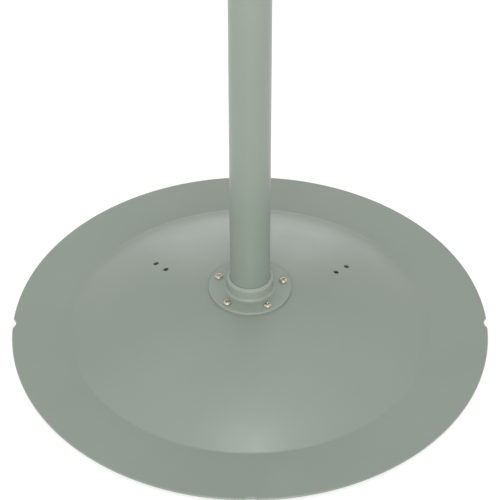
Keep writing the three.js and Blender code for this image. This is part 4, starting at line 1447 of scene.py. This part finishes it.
def dot_cells(front, columns=20, rows=2):
    """All the dots of the character cells, as thin squares standing off the carrier."""
    dot, gap = 0.95 * MM, 1.25 * MM
    cell_width, cell_height = 8.9 * MM, 20 * MM
    stretch = 1.75
    shape = bmesh.new()
    for row in range(rows):
        for column in range(columns):
            centre_x = (column - (columns - 1) / 2) * cell_width
            centre_z = ((rows - 1) / 2 - row) * cell_height
            for i in range(5):
                for j in range(7):
                    x = centre_x + (i - 2) * gap
                    z = tilt_z + centre_z + (j - 3) * gap * stretch
                    w, h = dot / 2, dot * stretch / 2
                    quad = [(x - w, z - h), (x + w, z - h), (x + w, z + h), (x - w, z + h)]
                    fore = [shape.verts.new((a, front - 0.15 * MM, b)) for a, b in quad]
                    rear = [shape.verts.new((a, front + 0.1 * MM, b)) for a, b in quad]
                    shape.faces.new(fore)
                    for k in range(4):
                        shape.faces.new((rear[k], rear[(k + 1) % 4], fore[(k + 1) % 4], fore[k]))
                    shape.faces.new(rear[::-1])
    bmesh.ops.recalc_face_normals(shape, faces=shape.faces)
    mesh = bpy.data.meshes.new("dots")
    shape.to_mesh(mesh)
    shape.free()
    mesh.materials.append(phosphor.material)
    return new_piece("character_dots", mesh)


pane = panel_like("display_window", 5 * MM, 0.3 * MM)
deliver(pane, "window", "display_window", smoked.material)
module_front = low_high("display_tube")[0].y
envelope = panel_like("display_tube", 2 * MM, 0.8 * MM)
deliver(envelope, "display_envelope", "display_tube", carrier.material)
dots = dot_cells(module_front)
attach(dots, "head")
board = panel_like("display_board", 1 * MM, 0.2 * MM)
deliver(board, "circuit_card", "display_board", solder_mask.material)
print("window, envelope,", len(dots.data.polygons) // 6, "dots and board")

# %% [markdown]
# ## Sockets, button and cover screws
#
# The rear of the head has the small things that a fitter touches: a data socket with a row of contacts, a
# round power socket with a centre pin, a push button, and four deep screw wells.

# %% Sockets, button and screws
def connector_shape():
    floor = head_back - 9 * MM
    block = panel(
        block_high.x - block_low.x, block_high.z - block_low.z, 2 * MM, block_low.y, block_high.y, 0.5 * MM,
        (port_x, port_z),
    )
    data_at = (port_x - 9 * MM, port_z)
    data = panel(16 * MM, 10 * MM, 0.8 * MM, floor, head_back, at=data_at)
    latch = panel(6 * MM, 2 * MM, 0.3 * MM, floor + 2 * MM, head_back, at=(data_at[0], port_z - 5.6 * MM))
    power = head_bar(4.5 * MM, floor, head_back, port_x + 12 * MM, port_z, 40)
    return carve(block, data, latch, power)


def socket_contacts():
    """Eight gold springs in the data socket and the centre pin of the power socket."""
    floor = head_back - 9 * MM
    pieces = []
    for i in range(8):
        at = (port_x - 9 * MM + (i - 3.5) * 1.27 * MM, port_z + 3.2 * MM)
        pieces.append(panel(0.6 * MM, 1.2 * MM, 0.2 * MM, floor - 0.5 * MM, floor + 6 * MM, 0.1 * MM, at))
    centre_pin = [(0, -1 * MM), (1 * MM, -1 * MM), (1 * MM, 6.2 * MM), (0.6 * MM, 7 * MM), (0, 7 * MM)]
    spike = turned("spike", eased(centre_pin, 0.2 * MM), 24)
    pieces.append(place(spike, lean="y", at=(port_x + 12 * MM, floor, tilt_z + port_z)))
    contacts = pieces[0]
    with bpy.context.temp_override(active_object=contacts, selected_editable_objects=pieces):
        bpy.ops.object.join()
    return contacts


def button_shape():
    low, high = low_high("power_button")
    radius = 4.5 * MM
    lip = head_back - wall - 0.3 * MM
    profile = [
        (0, low.y),
        (radius + 2 * MM, low.y),
        (radius + 2 * MM, lip),
        (radius, lip),
        (radius, high.y - 0.5 * MM, 0.5 * MM),
        (radius * 0.75, high.y, 0.6 * MM),
        (0, high.y - 0.5 * MM),
    ]
    return place(turned("button", eased(profile, 0.2 * MM), 56), lean="y", at=(button.x, 0, button.z))


gold = plated("gold_contact", (0.83, 0.62, 0.27), (0.86, 0.68, 0.34), 0.22)
deliver(connector_shape(), "socket_block", "connector_block", charcoal_plastic)
contacts = socket_contacts()
contacts.name = "socket_contacts"
contacts.data.materials.clear()
contacts.data.materials.append(gold)
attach(contacts, "head")
deliver(button_shape(), "push_button", "power_button", charcoal_plastic)

for number, (x, z) in enumerate(corners, start=1):
    node = f"cover_screw_{number}"
    low, high = low_high(node)
    seat = cover_low.y + 8.1 * MM
    screw = pan_head(2.9 * MM, high.y - seat, 1.5 * MM, seat - low.y, 32)
    place(screw, spin=35 * number, lean="y", at=(x, seat, tilt_z + z))
    deliver(screw, f"casing_screw_{number}", node, clear_zinc)
print("sockets, button and four screws")
